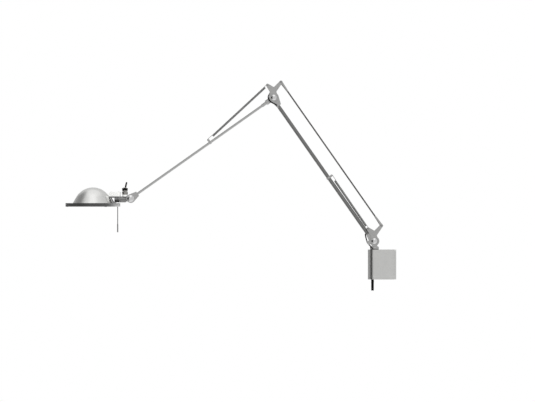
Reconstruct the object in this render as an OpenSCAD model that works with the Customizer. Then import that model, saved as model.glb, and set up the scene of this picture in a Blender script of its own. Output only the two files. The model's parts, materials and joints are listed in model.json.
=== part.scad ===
// Articulating wall lamp: a wall bracket with a swivel, two sprung arms kept level by a tie rod,
// a tilting and rolling wrist with a toggle switch, and a dished halogen head.
// Origin at the centre of the wall face; +X points into the wall, +Z is up. Sizes in millimetres.

/* [Stance] */
// Distance from the wall face to the swivel axis
swivel_reach = 45.4; // [42:0.1:60]
// Height of the shoulder pivot above the centre of the wall face
shoulder_height = 49.2; // [48:0.1:60]
// Length between pivots of both arms and of the tie rod
arm_span = 368; // [320:1:420]
// Direction of the lower arm above level at rest, measured from the wall side
lower_arm_angle = 125; // [124:0.5:150]
// Direction of the upper arm at rest, measured from the wall side
upper_arm_angle = 215.2; // [195:0.1:230]

/* [Wall bracket] */
// Height of the bracket on the wall
bracket_h = 62.8; // [60:0.1:80]
// Width of the bracket, which is also the diameter of its round nose
bracket_w = 27.6; // [26.6:0.1:36]
// Wall thickness of the bracket's hollow back
bracket_wall = 3; // [2:0.1:4]
// Thickness of the wall plate
plate_t = 4.2; // [3:0.1:6]
// Distance between the two wall screw holes
plate_hole_pitch = 30; // [24:0.5:32]
// Diameter of the wall screw holes
plate_hole_d = 5.2; // [4:0.1:6]
// Depth of the plate's lugs that the bracket hooks on
lug_depth = 9; // [6:0.5:12]
// Thickness of the plate's lugs
lug_t = 4.2; // [3:0.1:5]
// Thickness of the bottom cap
cap_h = 6.7; // [5.5:0.1:8]
// Diameter of the lock screw that pins the bracket to the plate
lock_screw_d = 4; // [3:0.5:4]

/* [Swivel] */
// Outer diameter of the hollow swivel spindle
spindle_d = 12; // [10:0.1:13]
// Bore of the spindle, which the lead passes through
spindle_bore = 7.2; // [6:0.1:8]
// Wall thickness of the two swivel bushes
bush_wall = 2; // [1.5:0.1:2.4]
// Thickness of the bush flanges
bush_flange_t = 1.2; // [0.8:0.1:2]
// Diameter of the collar under the shoulder
collar_d = 18.7; // [18.2:0.1:22]
// Height of the collar's straight part
collar_h = 3.2; // [2:0.1:4]

/* [Y brackets] */
// Thickness of each cheek of the Y brackets
cheek_t = 3; // [2:0.1:4]
// Gap between the two cheeks
cheek_gap = 8.2; // [8.2:0.1:10]
// Diameter of the round hub
hub_d = 17.5; // [16.5:0.1:19]
// Distance from the hub to the spring ear
spring_ear_r = 29.2; // [28.5:0.1:34]
// Direction of the spring ear
spring_ear_angle = 117.5; // [115:0.5:118]
// Distance from the hub to the tie rod ear
rod_ear_r = 35.7; // [34:0.1:40]
// Direction of the tie rod ear
rod_ear_angle = 65.3; // [60:0.1:70]
// Radius of the ear tips
ear_tip_r = 3.2; // [2.8:0.1:4]
// Diameter of the hub pins
hub_pin_d = 6; // [5:0.1:7]
// Diameter of the spring pins
spring_pin_d = 2; // [1.6:0.1:2]
// Diameter of the tie rod pins
rod_pin_d = 3; // [2.4:0.1:3.2]

/* [Arms] */
// Diameter of the lower arm tube
lower_tube_d = 7.6; // [6.6:0.1:7.6]
// Diameter of the upper arm tube
upper_tube_d = 5; // [4.4:0.1:6]
// Wall thickness of the arm tubes
tube_wall = 0.9; // [0.6:0.1:1]
// Offset of the lower tube below the line through its pivots
lower_tube_drop = 2.7; // [2:0.1:3.5]
// Distance from each hub to the lower tube's ends
lower_tube_inset = 20; // [19:0.5:24]
// Diameter of the lower arm's round eyes
lower_eye_d = 20.4; // [18:0.1:21]
// Distance from each hub to the upper tube's ends
upper_tube_inset = 17.6; // [17:0.1:20]
// Diameter of the upper arm's eye at the elbow
upper_eye_d = 16; // [14:0.1:17]
// Thickness of the upper arm's tongue at the elbow
tongue_t = 3.6; // [3:0.1:4]
// Diameter of the upper arm's barrel fitting at the elbow
barrel_d = 10.6; // [9.4:0.1:11]
// Length of the barrel fitting
barrel_l = 6; // [5:0.5:10]
// Diameter of the ferrule between the barrel and the tube
ferrule_d = 6.6; // [6:0.1:8]
// Length of the ferrule
ferrule_l = 11; // [8:0.5:14]

/* [Tie rod] */
// Diameter of the tie rod
tie_rod_d = 3.2; // [2.8:0.1:3.6]
// Diameter of the round eyes of its ends
rod_eye_d = 6; // [5.6:0.1:6.6]
// Length of its tapered ends
rod_end_l = 24; // [18:1:30]
// Width of its eyes across the cheeks
rod_eye_t = 5; // [4:0.1:6]

/* [Springs] */
// Outer diameter of the spring coils
spring_od = 5.2; // [4.9:0.1:5.2]
// Diameter of the spring wire
wire_d = 1.3; // [1.1:0.1:1.3]
// Turns of the lower spring
lower_spring_turns = 37; // [30:1:40]
// Turns of the upper spring
upper_spring_turns = 49; // [40:1:54]
// Distance of the spring posts along both arms
post_at = 164; // [150:1:175]
// Height of the spring posts' pins above the tubes
post_stand = 3.9; // [3.8:0.1:5]
// Distance from an ear pin to the coil
ear_hook_l = 7; // [6:0.5:10]
// Distance from a post's pin to the coil
post_hook_l = 12.5; // [10:0.5:16]

/* [Wrist] */
// Diameter of the wrist fork's eyes
wrist_eye_d = 18.4; // [17.6:0.1:18.6]
// Width of the wrist fork where it takes the tube
wrist_fork_end = 10.4; // [8:0.1:11]
// Gap between the wrist fork's cheeks
wrist_gap = 6.4; // [6:0.1:7]
// Thickness of the wrist fork's cheeks
wrist_cheek_t = 3; // [2:0.1:3]
// Diameter of the wrist pin
wrist_pin_d = 4; // [3:0.1:5]
// Diameter of the switch housing
housing_d = 12.6; // [11.6:0.1:12.6]
// Length of the switch housing
housing_l = 13.6; // [13:0.1:15]
// Drop of the roll axis below the wrist pivot
roll_drop = 1.9; // [1:0.1:2.5]
// Diameter of the roll spindle
roll_pin_d = 4; // [3:0.1:4.4]

/* [Switch] */
// Diameter of the switch collar and nut
switch_d = 12.4; // [11:0.1:12.4]
// Diameter of the toggle lever at its tip
toggle_d = 3.4; // [2.6:0.1:3.6]
// Height of the lever above its pivot
toggle_l = 16.4; // [14:0.1:20]
// Lean of the lever to either side
toggle_lean = 13; // [8:1:14]

/* [Head] */
// Gap between the swivel block and the dome
dome_gap = 2.9; // [2.4:0.1:12]
// Drop of the shade's top face below the wrist pivot
ring_drop = 9.7; // [9.7:0.1:12]
// Width of the flat ring round the dome
ring_w = 15.1; // [13:0.1:17]
// Height of the shade ring with its bezel
ring_h = 7.35; // [6.5:0.05:9]
// Diameter of the dome at its base
dome_d = 84.8; // [80:0.2:86]
// Height of the dome
dome_h = 33; // [30:0.1:36]
// How much smaller the crown's radius is than the dome's
crown_inset = 2.4; // [1:0.1:4]
// Sheet thickness of the ring and dome
sheet_t = 1.2; // [0.8:0.1:1.5]
// Width of the bezel round the front glass
bezel_w = 7.5; // [7:0.1:9]
// Thickness of the front glass
glass_t = 2; // [1.5:0.1:2.4]
// Diameter of the lamp capsule
capsule_d = 9.5; // [8:0.1:10]
// Length of the lamp capsule
capsule_l = 24; // [20:0.5:28]
// Width of the head's carrying bar
bar_w = 9; // [7:0.1:10]
// Thickness of the carrying bar
bar_t = 3; // [2.4:0.1:3.2]
// Height of the white terminal cover
cover_h = 9.1; // [7:0.1:10]

/* [Handle] */
// Diameter of the aiming handle's rod
handle_d = 1.7; // [1.4:0.1:2.2]
// Length of the handle below the shade
handle_l = 53.8; // [40:0.1:60]
// Diameter of the handle's grip
grip_d = 2.6; // [2.4:0.1:4]
// Length of the grip
grip_l = 16.8; // [10:0.1:20]
// Distance from the ring's edge to the handle
handle_inset = 5.4; // [5:0.1:6]

/* [Leads] */
// Diameter of the supply sleeve below the bracket
sleeve_d = 5.6; // [5:0.1:5.8]
// Length of the sleeve below the bracket
sleeve_l = 23.3; // [18:0.1:30]
// Diameter of the supply lead
supply_lead_d = 3.4; // [2.6:0.1:3.6]
// Diameter of the thin leads in the arms
arm_lead_d = 2.6; // [2:0.1:2.8]

/* [Hidden] */
$fn = 64;

// Clearances and the overrun of every cut
cut = 1;
run_gap = 0.05;
press_gap = 0.02;
side_gap = 0.3;
flank_dip = 0.03;

// Pivots in the side plane, x then z
shoulder = [-swivel_reach, shoulder_height];
elbow = shoulder + arm_span * [cos(lower_arm_angle), sin(lower_arm_angle)];
wrist = elbow + arm_span * [cos(upper_arm_angle), sin(upper_arm_angle)];
spring_ear = spring_ear_r * [cos(spring_ear_angle), sin(spring_ear_angle)];
rod_ear = rod_ear_r * [cos(rod_ear_angle), sin(rod_ear_angle)];

// Wall bracket
nose_r = bracket_w / 2;
half_h = bracket_h / 2;
boss_floor = 11.4;
boss_back = 18.4;
bore_r = spindle_d / 2 + run_gap + bush_wall;
flange_r = collar_d / 2 - side_gap;
plate_corner_r = 2;
hole_sink_d = 9.4;
screw_head_d = 5.6;
screw_head_t = 2;
socket_share = 0.62;
screw_shank_d = 3;
screw_shank_l = 9;
cap_screw_back = 13.4;
cap_screw_y = 9.6;
cap_floor = 2.7;
cap_pocket_r = 9.4;
bush_l = 16;
lug_half_w = nose_r - bracket_wall - side_gap;
lug_top = half_h - bracket_wall - side_gap;
lug_bottom = -half_h + cap_h + side_gap;
ring_groove = 0.6;
ring_t = 1;
ring_out = 2.2;
spindle_lip = 0.6;
spindle_seat = 4.8;
spindle_top = half_h + bush_flange_t + spindle_seat;
clip_z = boss_floor - half_h - bush_flange_t - ring_t - 2 * side_gap;
spindle_bottom = clip_z - spindle_lip;

// Lead routes from the swivel axis, the shoulder or the elbow: x, y, z
sleeve_at = 4.1;
sleeve_flange_t = 1.5;
sleeve_flange_r = 4;
supply_route = [[-4.1, 0, -54.7], [-4.1, 0, -46], [-4.1, 0, -38], [-4.1, 0, -31], [-4.1, 0, -27.2],
                [-3.5, 0, -25.9], [-2.4, 0, -24.6], [-1.3, 0, -23.4], [-0.5, 0, -21.8], [-0.1, 0, -19.6],
                [0, 0, -17], [0, 0, -8], [0, 0, 4], [0, 0, 16], [0, 0, 28], [0, 0, 34]];
shoulder_route = [[-14.9, 0, 18.3], [-16.9, 0, 16.8], [-18.3, 0, 15.4], [-19, 0, 13.4], [-18.8, 0, 11.3],
                  [-18.2, 0, 8.6], [-17.4, 0, 5.6], [-16.6, 0, 2.6], [-15.9, 0, -0.4], [-14.8, -0.4, -3.4],
                  [-13, -1.4, -6], [-10.8, -2.6, -8.2], [-9, -4.2, -10], [-7.9, -5.1, -11.8],
                  [-7.4, -5.4, -13.4], [-7.3, -5.4, -15.2]];
elbow_route = [[6.1, -5.6, -17.3], [4.9, -5.6, -15.6], [2.6, -5.6, -14.2], [-0.6, -5.6, -12.7],
               [-4, -5.6, -10.9], [-7.2, -5.6, -8.6], [-9.8, -5.6, -5.8], [-11.5, -5.6, -2.6],
               [-12, -5.6, 0.6], [-11.4, -5.6, 3.6], [-9.9, -5.6, 6.2]];
shoulder_end = shoulder_route[len(shoulder_route) - 1];
elbow_start = elbow_route[0];
elbow_end = elbow_route[len(elbow_route) - 1];
elbow_lead_y = cheek_gap / 2 + cheek_t / 2;
boss_r = cheek_t / 2;
boss_l = 5;
boss_turn = 60;
port_turn = atan2(elbow_start[2], elbow_start[0]) + 180 - lower_arm_angle;
port_r = norm([elbow_start[0], elbow_start[2]]);
port_from = port_r * cos(port_turn);
port_z = -port_r * sin(port_turn);

// Y brackets: the arms of the Y taper from these circles at the crotch to the ear tips
crotch = [-2.2, 13.5];
crotch_r = 6.4;
crotch_left = [-3.6, 16.1];
crotch_left_r = 6.7;
crotch_right = [1.2, 15.8];
crotch_right_r = 5.2;
web_at = [-0.5, 17];
web_r = 2.9;
hub_rim_h = 1.2;
hub_rim_w = 2.1;
cap_edge = 0.8;
cap_base_t = 0.8;
cap_rise = 2.2;
hub_cap_r = hub_d / 2 - hub_rim_w - side_gap;
cheek_y = (cheek_gap + cheek_t) / 2;
outer_w = cheek_gap + 2 * cheek_t;
collar_z = half_h + bush_flange_t + side_gap;
shield_at = [-2, 2.4];
shield_r = 14.8;
shield_from = 176;
shield_to = 216;
neck_half = 5.8;
neck_top = 38.4;

// Arms
lower_body_w = 12;
lower_body_at = 17;
lower_plug_l = 12;
lower_port_at = 23.5;
lower_port_floor = 1.4;
port_hole_r = 2.2;
fork_gap = tongue_t + 2 * side_gap;
lower_fit_t = cheek_gap - 2 * side_gap;
slot_r = 13.9;
barrel_from = 14;
barrel_to = barrel_from + barrel_l;
ferrule_to = barrel_to + ferrule_l;
upper_plug_l = 10;
upper_lead_r = upper_tube_d / 2 - tube_wall - 2 * side_gap;
upper_lead_drop = side_gap;
post_band = 0.9;
post_w = 4.4;
post_cheek_t = 1.1;
post_pin_r = spring_pin_d / 2;
post_gap = wire_d + 2 * side_gap;

// Springs
coil_r = (spring_od - wire_d) / 2;
curl_rings = 8;
wire_sides = 6;
lead_sides = 8;
hook_turn = 250;
hook_rings = 10;

// Wrist and switch
wrist_slot_margin = 2;
wrist_slot_r = wrist_eye_d / 2 + wrist_slot_margin;
wrist_w = wrist_gap + 2 * wrist_cheek_t;
housing_gap = wrist_eye_d / 2 + 2 * side_gap;
housing_right = -housing_gap;
housing_left = housing_right - housing_l;
housing_groove = 0.8;
knuckle_t = wrist_gap - 2 * side_gap;
knuckle_inset = 2;
knuckle_r = wrist_eye_d / 2 - knuckle_inset;
knuckle_end_r = housing_d / 2 - roll_drop / 2 - side_gap;
wrist_cap_r = wrist_eye_d / 2 - 2 * cap_edge - side_gap;
switch_x = -12.2;
seat_r = 5.4;
seat_top = 8.4;
collar_top = 14.1;
nut_bottom = 17;
nut_top = 21.8;
stem_top = 23.2;
stem_r = 3.2;
toggle_pivot = 18.6;
toggle_root_r = 1.2;
toggle_root_l = 5.4;
toggle_pin_r = 0.7;
toggle_ball_r = 2.2;

// Head, from the wrist pivot or from the centre of the shade's top face
swivel_gap = 0.4;
swivel_l = 10.4;
roll_seat_l = 4.5;
roll_clip_t = 1;
roll_recess = roll_clip_t + 2 * side_gap;
head_right = housing_left - swivel_gap;
swivel_left = head_right - swivel_l;
clip_x = swivel_left + roll_recess - side_gap;
bar_z = housing_d / 2 - roll_drop - bar_t;
ring_z = -ring_drop;
roll_clip_r = housing_d / 2 - bar_t - 2 * side_gap;
strut_t = 2.4;
strut_foot = 6;
dome_lean = 6;
strut_run = 6.6;
head_reach = dome_d / 2 + dome_gap - swivel_left;
strut_top = swivel_left - dome_gap - dome_lean;
strut_low = strut_top + strut_run;
cover_l = 24;
cover_w = 12;
cover_overhang = 2.2;
cover_edge = 1.4;
cover_right = head_right + cover_overhang;
cover_top = bar_z + bar_t + cover_h;
ring_d = dome_d + 2 * ring_w;
glass_d = ring_d - 2 * bezel_w;
dome_crown_r = dome_d / 2 - crown_inset;
handle_at = ring_d / 2 - handle_inset;
bezel_h = 3.5;
bezel_groove = 0.25;
rim_lip = 3;
reflector_inset = 5.4;
reflector_r = dome_d / 2 - reflector_inset;
reflector_h = 24;
reflector_t = 0.6;
reflector_brim = 6;
reflector_z = -sheet_t - reflector_t;
reflector_ball = (reflector_r * reflector_r + reflector_h * reflector_h) / (2 * reflector_h);
holder_w = 14;
holder_h = 9;
holder_front = capsule_l / 2;
lamp_z = 9;
lamp_pin_r = 0.5;
lamp_pin_l = 4;
grip_floor = 0.5;

// Placing helpers
module at_side(p) { translate([p[0], 0, p[1]]) children(); }
module along(p, a) { at_side(p) rotate([0, -a, 0]) children(); }
module along_lower() { along(shoulder, lower_arm_angle) children(); }
module along_upper() { along(elbow, upper_arm_angle) children(); }
module along_rod() { along(shoulder + rod_ear, lower_arm_angle) children(); }
module on_axis() { translate([-swivel_reach, 0, 0]) children(); }
module on_roll() { at_side(wrist - [0, roll_drop]) children(); }
module at_head() { at_side(wrist - [head_reach, ring_drop]) children(); }

// A plate of the children's x-z outline, thickness t, with its middle at y
module plate_y(t, y = 0) {
    translate([0, y, 0]) rotate([90, 0, 0]) linear_extrude(t, center = true) children();
}

// A round bar along Y through p
module bar_y(p, r, l, y = 0) { plate_y(l, y) translate(p) circle(r); }

// A round bar along X from x0 to x1
module bar_x(r, x0, x1) { translate([x0, 0, 0]) rotate([0, 90, 0]) cylinder(r = r, h = x1 - x0); }

// The outline round two circles, closed by straight flanks that start a hair inside their edges
module link2d(a, ra, b, rb) {
    d = norm(b - a);
    t = atan2(b[1] - a[1], b[0] - a[0]);
    s = acos((ra - rb) / d);
    translate(a) circle(ra);
    translate(b) circle(rb);
    polygon([for (e = [[a, ra, s], [b, rb, s], [b, rb, -s], [a, ra, -s]])
        e[0] + (e[1] - flank_dip) * [cos(t + e[2]), sin(t + e[2])]]);
}

// A round tube through points, each with a direction that its first side faces
module tube_along(points, facings, r, sides) {
    last = len(points) - 1;
    rings = [for (i = [0 : last])
        let (t = points[min(i + 1, last)] - points[max(i - 1, 0)],
             u = t / norm(t),
             f = facings[i] - (facings[i] * u) * u,
             n = f / norm(f),
             b = cross(u, n))
        for (k = [0 : sides - 1]) points[i] + r * (cos(360 * k / sides) * n + sin(360 * k / sides) * b)];
    walls = [for (i = [0 : last - 1], k = [0 : sides - 1])
        let (p = i * sides + k, q = i * sides + (k + 1) % sides)
        each [[p, q, p + sides], [q, q + sides, p + sides]]];
    ends = [for (k = [1 : sides - 2])
        each [[0, k + 1, k], [last * sides, last * sides + k, last * sides + k + 1]]];
    polyhedron(points = rings, faces = concat([for (f = walls) [f[2], f[1], f[0]]],
                                              [for (f = ends) [f[2], f[1], f[0]]]));
}

// A lead along its route
module lead(route, d) { tube_along(route, [for (p = route) [0, 1, 0]], d / 2, lead_sides); }

// Wall bracket

// The bracket's plan: flat sides and a full round nose, from the nose to x = back
module bracket_plan(inset, back) {
    translate([-swivel_reach, 0]) circle(nose_r - inset);
    translate([-swivel_reach, inset - nose_r]) square([swivel_reach + back, 2 * (nose_r - inset)]);
}

module wall_plate() color("silver") {
    difference() {
        union() {
            rotate([0, -90, 0]) linear_extrude(plate_t) {
                translate([0, -nose_r]) square([half_h - plate_corner_r, bracket_w]);
                translate([-half_h + plate_corner_r, -nose_r]) square([half_h, bracket_w]);
                for (z = [-1, 1], y = [-1, 1])
                    translate([z * (half_h - plate_corner_r), y * (nose_r - plate_corner_r)])
                        circle(plate_corner_r);
                translate([-half_h, plate_corner_r - nose_r])
                    square([bracket_h, bracket_w - 2 * plate_corner_r]);
            }
            for (z = [lug_top - lug_t, lug_bottom])
                translate([-plate_t - lug_depth, -lug_half_w, z]) cube([lug_depth, 2 * lug_half_w, lug_t]);
        }
        for (z = [-1, 1]) translate([0, 0, z * plate_hole_pitch / 2]) {
            bar_x(plate_hole_d / 2, -plate_t - cut, cut);
            translate([-plate_t - cut, 0, 0]) rotate([0, 90, 0])
                cylinder(r1 = hole_sink_d / 2 + cut, r2 = plate_hole_d / 2,
                         h = cut + (hole_sink_d - plate_hole_d) / 2);
        }
        lock_screw_axis(lug_bottom - cut) cylinder(d = lock_screw_d + 2 * press_gap, h = lug_t + 2 * cut);
    }
}

module lock_screw_axis(z) { translate([-plate_t - lug_depth / 2, 0, z]) children(); }

module wall_bracket() color("silver") difference() {
    translate([0, 0, cap_h - half_h]) linear_extrude(bracket_h - cap_h) bracket_plan(0, -plate_t);
    translate([boss_back - swivel_reach, bracket_wall - nose_r, cap_h - half_h - cut])
        cube([swivel_reach, 2 * (nose_r - bracket_wall), bracket_h - cap_h - bracket_wall + cut]);
    on_axis() translate([0, 0, -half_h]) {
        cylinder(r = bore_r + press_gap, h = bracket_h + cut);
        cylinder(r = cap_pocket_r, h = boss_floor);
    }
    for (y = [-1, 1]) cap_screw_axis(y, cap_h - half_h - cut)
        cylinder(d = screw_shank_d + 2 * press_gap, h = screw_shank_l + cut);
}

module cap_screw_axis(y, z) { translate([cap_screw_back - swivel_reach, y * cap_screw_y, z]) children(); }

module bottom_cap() color("silver") difference() {
    translate([0, 0, -half_h]) linear_extrude(cap_h) bracket_plan(0, -plate_t);
    on_axis() translate([0, 0, cap_floor - half_h]) cylinder(r = cap_pocket_r, h = cap_h);
    on_axis() translate([-sleeve_at, 0, -half_h - cut]) cylinder(d = sleeve_d + 2 * side_gap, h = cap_h);
    for (y = [-1, 1]) cap_screw_axis(y, -half_h - cut) {
        cylinder(d = screw_shank_d + 2 * press_gap, h = cap_h + 2 * cut);
        cylinder(d = screw_head_d + 2 * side_gap, h = screw_head_t + cut);
    }
    lock_screw_axis(-half_h - cut) {
        cylinder(d = lock_screw_d + 2 * press_gap, h = cap_h + 2 * cut);
        cylinder(d = lock_screw_d + screw_head_t + 2 * side_gap, h = screw_head_t + cut);
    }
}

module cap_screws() color("dimgray") for (y = [-1, 1]) cap_screw_axis(y, -half_h) difference() {
    union() {
        cylinder(d = screw_head_d, h = screw_head_t);
        cylinder(d = screw_shank_d, h = cap_h + screw_shank_l - cut);
    }
    translate([0, 0, -cut]) cylinder(d = socket_share * screw_shank_d, h = screw_head_t / 2 + cut, $fn = 6);
}

module lock_screw() color("dimgray") lock_screw_axis(-half_h) difference() {
    union() {
        cylinder(d = lock_screw_d + screw_head_t, h = screw_head_t);
        cylinder(d = lock_screw_d, h = cap_h + lug_t);
    }
    translate([0, 0, -cut]) cylinder(d = socket_share * lock_screw_d, h = screw_head_t / 2 + cut, $fn = 6);
}

// A flanged bush for the spindle, its flange at z = 0 and its sleeve below
module bush(l) difference() {
    union() {
        cylinder(r = flange_r, h = bush_flange_t);
        translate([0, 0, -l]) cylinder(r = bore_r, h = l + bush_flange_t);
    }
    translate([0, 0, -l - cut]) cylinder(r = spindle_d / 2 + run_gap, h = l + bush_flange_t + 2 * cut);
}

module upper_bush() color("black") on_axis() translate([0, 0, half_h]) bush(bush_l);

module lower_bush() color("black") on_axis() translate([0, 0, boss_floor - half_h]) difference() {
    union() {
        cylinder(r = bore_r, h = bush_l);
        translate([0, 0, -bush_flange_t]) cylinder(r = cap_pocket_r - side_gap, h = bush_flange_t);
    }
    translate([0, 0, -bush_flange_t - cut])
        cylinder(r = spindle_d / 2 + run_gap, h = bush_l + bush_flange_t + 2 * cut);
}

module strain_relief() color("black") on_axis() translate([-sleeve_at, 0, -half_h]) difference() {
    union() {
        translate([0, 0, -sleeve_l]) cylinder(d = sleeve_d, h = sleeve_l + cap_floor);
        translate([0, 0, cap_floor]) cylinder(r = sleeve_flange_r, h = sleeve_flange_t);
    }
    translate([0, 0, -sleeve_l - cut])
        cylinder(d = supply_lead_d + 2 * press_gap, h = bracket_h);
}

module supply_lead() color("black") on_axis() lead(supply_route, supply_lead_d);

// Swivel and shoulder

module swivel_spindle() color("gainsboro") on_axis() difference() {
    translate([0, 0, spindle_bottom]) cylinder(d = spindle_d, h = spindle_top - spindle_bottom);
    translate([0, 0, spindle_bottom - cut]) cylinder(d = spindle_bore, h = bracket_h + shoulder_height);
    translate([0, 0, clip_z]) difference() {
        cylinder(r = spindle_d / 2 + cut, h = ring_t + 2 * press_gap);
        translate([0, 0, -cut]) cylinder(r = spindle_d / 2 - ring_groove, h = ring_t + 3 * cut);
    }
}

module retaining_ring() color("dimgray") on_axis() translate([0, 0, clip_z + press_gap]) difference() {
    cylinder(r = spindle_d / 2 + ring_out, h = ring_t);
    translate([0, 0, -cut]) cylinder(r = spindle_d / 2 - ring_groove + press_gap, h = ring_t + 2 * cut);
    translate([0, -ring_out, -cut]) cube([spindle_d, 2 * ring_out, ring_t + 2 * cut]);
}

// The outline of a Y bracket's cheek: a round hub with a spring ear and a tie rod ear
module y_outline() {
    link2d([0, 0], hub_d / 2, crotch, crotch_r);
    link2d(crotch_left, crotch_left_r, spring_ear, ear_tip_r);
    link2d(crotch_right, crotch_right_r, rod_ear, ear_tip_r);
}

// The bores through both cheeks of a Y bracket
module y_bores(l) {
    bar_y([0, 0], hub_pin_d / 2 + press_gap, l);
    bar_y(spring_ear, spring_pin_d / 2 + press_gap, l);
    bar_y(rod_ear, rod_pin_d / 2 + press_gap, l);
}

// Both cheeks, their raised hub rims and the web that joins them in the crotch
module y_cheeks() {
    for (s = [-1, 1]) {
        plate_y(cheek_t, s * cheek_y) y_outline();
        plate_y(hub_rim_h, s * (outer_w + hub_rim_h) / 2) difference() {
            circle(hub_d / 2);
            circle(hub_d / 2 - hub_rim_w);
        }
    }
    bar_y(web_at, web_r, outer_w - cheek_t);
}

module shoulder_bracket() color("lightgray") difference() {
    union() {
        at_side(shoulder) {
            y_cheeks();
            for (s = [-1, 1]) plate_y(cheek_t, s * cheek_y)
                translate([-neck_half, collar_z - shoulder_height])
                    square([2 * neck_half, shoulder_height - collar_z]);
            plate_y(cheek_t, -cheek_y) intersection() {
                translate(shield_at) circle(shield_r);
                polygon([[0, 0], 2 * shield_r * [cos(shield_from), sin(shield_from)],
                         2 * shield_r * [cos(shield_to), sin(shield_to)]]);
            }
        }
        on_axis() translate([0, 0, collar_z]) {
            cylinder(d = collar_d, h = collar_h);
            translate([0, 0, collar_h])
                cylinder(d1 = collar_d, d2 = 2 * neck_half + cheek_t, h = neck_top - collar_z - collar_h);
        }
    }
    at_side(shoulder) y_bores(outer_w + 2 * cut);
    at_side(shoulder) bar_y([0, 0], lower_eye_d / 2 + side_gap, cheek_gap);
    on_axis() translate([0, 0, collar_z - cut])
        cylinder(d = spindle_d + 2 * press_gap, h = spindle_top - collar_z + cut);
    at_side(shoulder) translate(shoulder_end - [0, 0, side_gap])
        cylinder(r = arm_lead_d / 2 + side_gap, h = hub_d / 2);
}

// A hub pin between the cheeks' outer faces
module hub_pin() { bar_y([0, 0], hub_pin_d / 2, outer_w); }

// The two domed caps that close a hub, one on each side
module hub_caps(r, from) for (turn = [0, 180])
    rotate([0, 0, turn]) translate([0, from, 0]) rotate([-90, 0, 0]) rotate_extrude() {
        ball = (r * r + cap_rise * cap_rise) / (2 * cap_rise);
        square([r, cap_base_t]);
        intersection() {
            translate([0, cap_base_t + cap_rise - ball]) circle(ball, $fn = 128);
            square([r, cap_base_t + cap_rise]);
        }
    }

module shoulder_pin() color("gray") at_side(shoulder) hub_pin();
module shoulder_caps() color("gainsboro") at_side(shoulder) hub_caps(hub_cap_r, outer_w / 2);
module shoulder_spring_pin() color("gray") at_side(shoulder) bar_y(spring_ear, spring_pin_d / 2, outer_w);
module shoulder_rod_pin() color("gray") at_side(shoulder) bar_y(rod_ear, rod_pin_d / 2, outer_w);

// Lower arm, drawn along +X from the shoulder; its tube lies on the +Z side of the pivot line

// The outline of an arm fitting: a round eye at the pivot and a body that narrows to the tube
module fitting_outline(eye_d, body_w, body_at, end, drop) {
    intersection() {
        link2d([0, 0], eye_d / 2, [body_at, drop / 2], body_w / 2);
        translate([-eye_d, -eye_d]) square([eye_d + end, 2 * eye_d]);
    }
}

module lower_tube_axis(x) { translate([x, 0, lower_tube_drop]) rotate([0, 90, 0]) children(); }

// The hole through the tube wall that the shoulder lead leaves by
module lower_port() {
    translate([lower_port_at, 0, lower_port_floor]) cylinder(r = port_hole_r, h = lower_tube_d);
}

module lower_plug() {
    lower_tube_axis(lower_tube_inset - cut)
        cylinder(r = lower_tube_d / 2 - tube_wall - press_gap, h = lower_plug_l + cut);
}

module lower_arm_foot() color("lightgray") along_lower() difference() {
    union() {
        plate_y(lower_fit_t) fitting_outline(lower_eye_d, lower_body_w, lower_body_at, lower_tube_inset,
                                             lower_tube_drop);
        lower_plug();
    }
    bar_y([0, 0], hub_pin_d / 2 + run_gap, lower_fit_t + 2 * cut);
    lower_port();
}

module lower_arm_tube() color("gray") along_lower() difference() {
    lower_tube_axis(lower_tube_inset) cylinder(d = lower_tube_d, h = arm_span - 2 * lower_tube_inset);
    lower_tube_axis(lower_tube_inset - cut)
        cylinder(r = lower_tube_d / 2 - tube_wall, h = arm_span - 2 * lower_tube_inset + 2 * cut);
    lower_port();
}

// The elbow end: the same fitting turned round and forked, with a port for the elbow lead
module lower_arm_head() color("lightgray") along_lower() difference() {
    union() {
        translate([arm_span, 0, 0]) mirror([1, 0, 0]) {
            plate_y(lower_fit_t) fitting_outline(lower_eye_d, lower_body_w, lower_body_at, lower_tube_inset,
                                                 lower_tube_drop);
            lower_plug();
            translate([port_from, -elbow_lead_y, port_z]) bar_x(boss_r, 0, boss_l);
            translate([port_from, -elbow_lead_y, port_z - boss_r])
                cube([lower_tube_inset - port_from, elbow_lead_y, 2 * boss_r]);
        }
    }
    translate([arm_span, 0, 0]) {
        bar_y([0, 0], hub_pin_d / 2 + run_gap, lower_fit_t + 2 * cut);
        bar_y([0, 0], slot_r, fork_gap);
    }
}

module lower_arm_lead() color("black") along_lower()
    lower_tube_axis(lower_tube_inset + lower_plug_l + cut)
        translate([lower_tube_d / 2 - tube_wall - arm_lead_d / 2 - side_gap, 0, 0])
            cylinder(d = arm_lead_d, h = arm_span - 2 * (lower_tube_inset + lower_plug_l + cut));

// A spring post: a band round the tube with two small cheeks and a pin for the hook, above a tube of
// diameter d whose centre lies at z
module spring_post(d, z) translate([post_at, 0, z]) {
    pin_z = -d / 2 - post_stand;
    difference() {
        bar_x(d / 2 + post_band, -post_w / 2, post_w / 2);
        bar_x(d / 2 + press_gap, -post_w, post_w);
    }
    difference() {
        for (s = [-1, 1]) plate_y(post_cheek_t, s * (post_gap + post_cheek_t) / 2)
            link2d([0, -d / 2 - post_band / 2], post_w / 2, [0, pin_z], post_pin_r + post_band);
        bar_x(d / 2 + press_gap, -post_w, post_w);
    }
    bar_y([0, pin_z], post_pin_r, post_gap + 2 * post_cheek_t);
}
lower_post = [post_at, lower_tube_drop - lower_tube_d / 2 - post_stand];
upper_post = [post_at, -upper_tube_d / 2 - post_stand];

module lower_spring_post() color("lightgray") along_lower() spring_post(lower_tube_d, lower_tube_drop);
module shoulder_lead() color("black") at_side(shoulder) lead(shoulder_route, arm_lead_d);
module elbow_lead() color("black") at_side(elbow) lead(elbow_route, arm_lead_d);

// Springs: one unbroken wire each, from the hook on its post through the coil to a straight end

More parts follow.
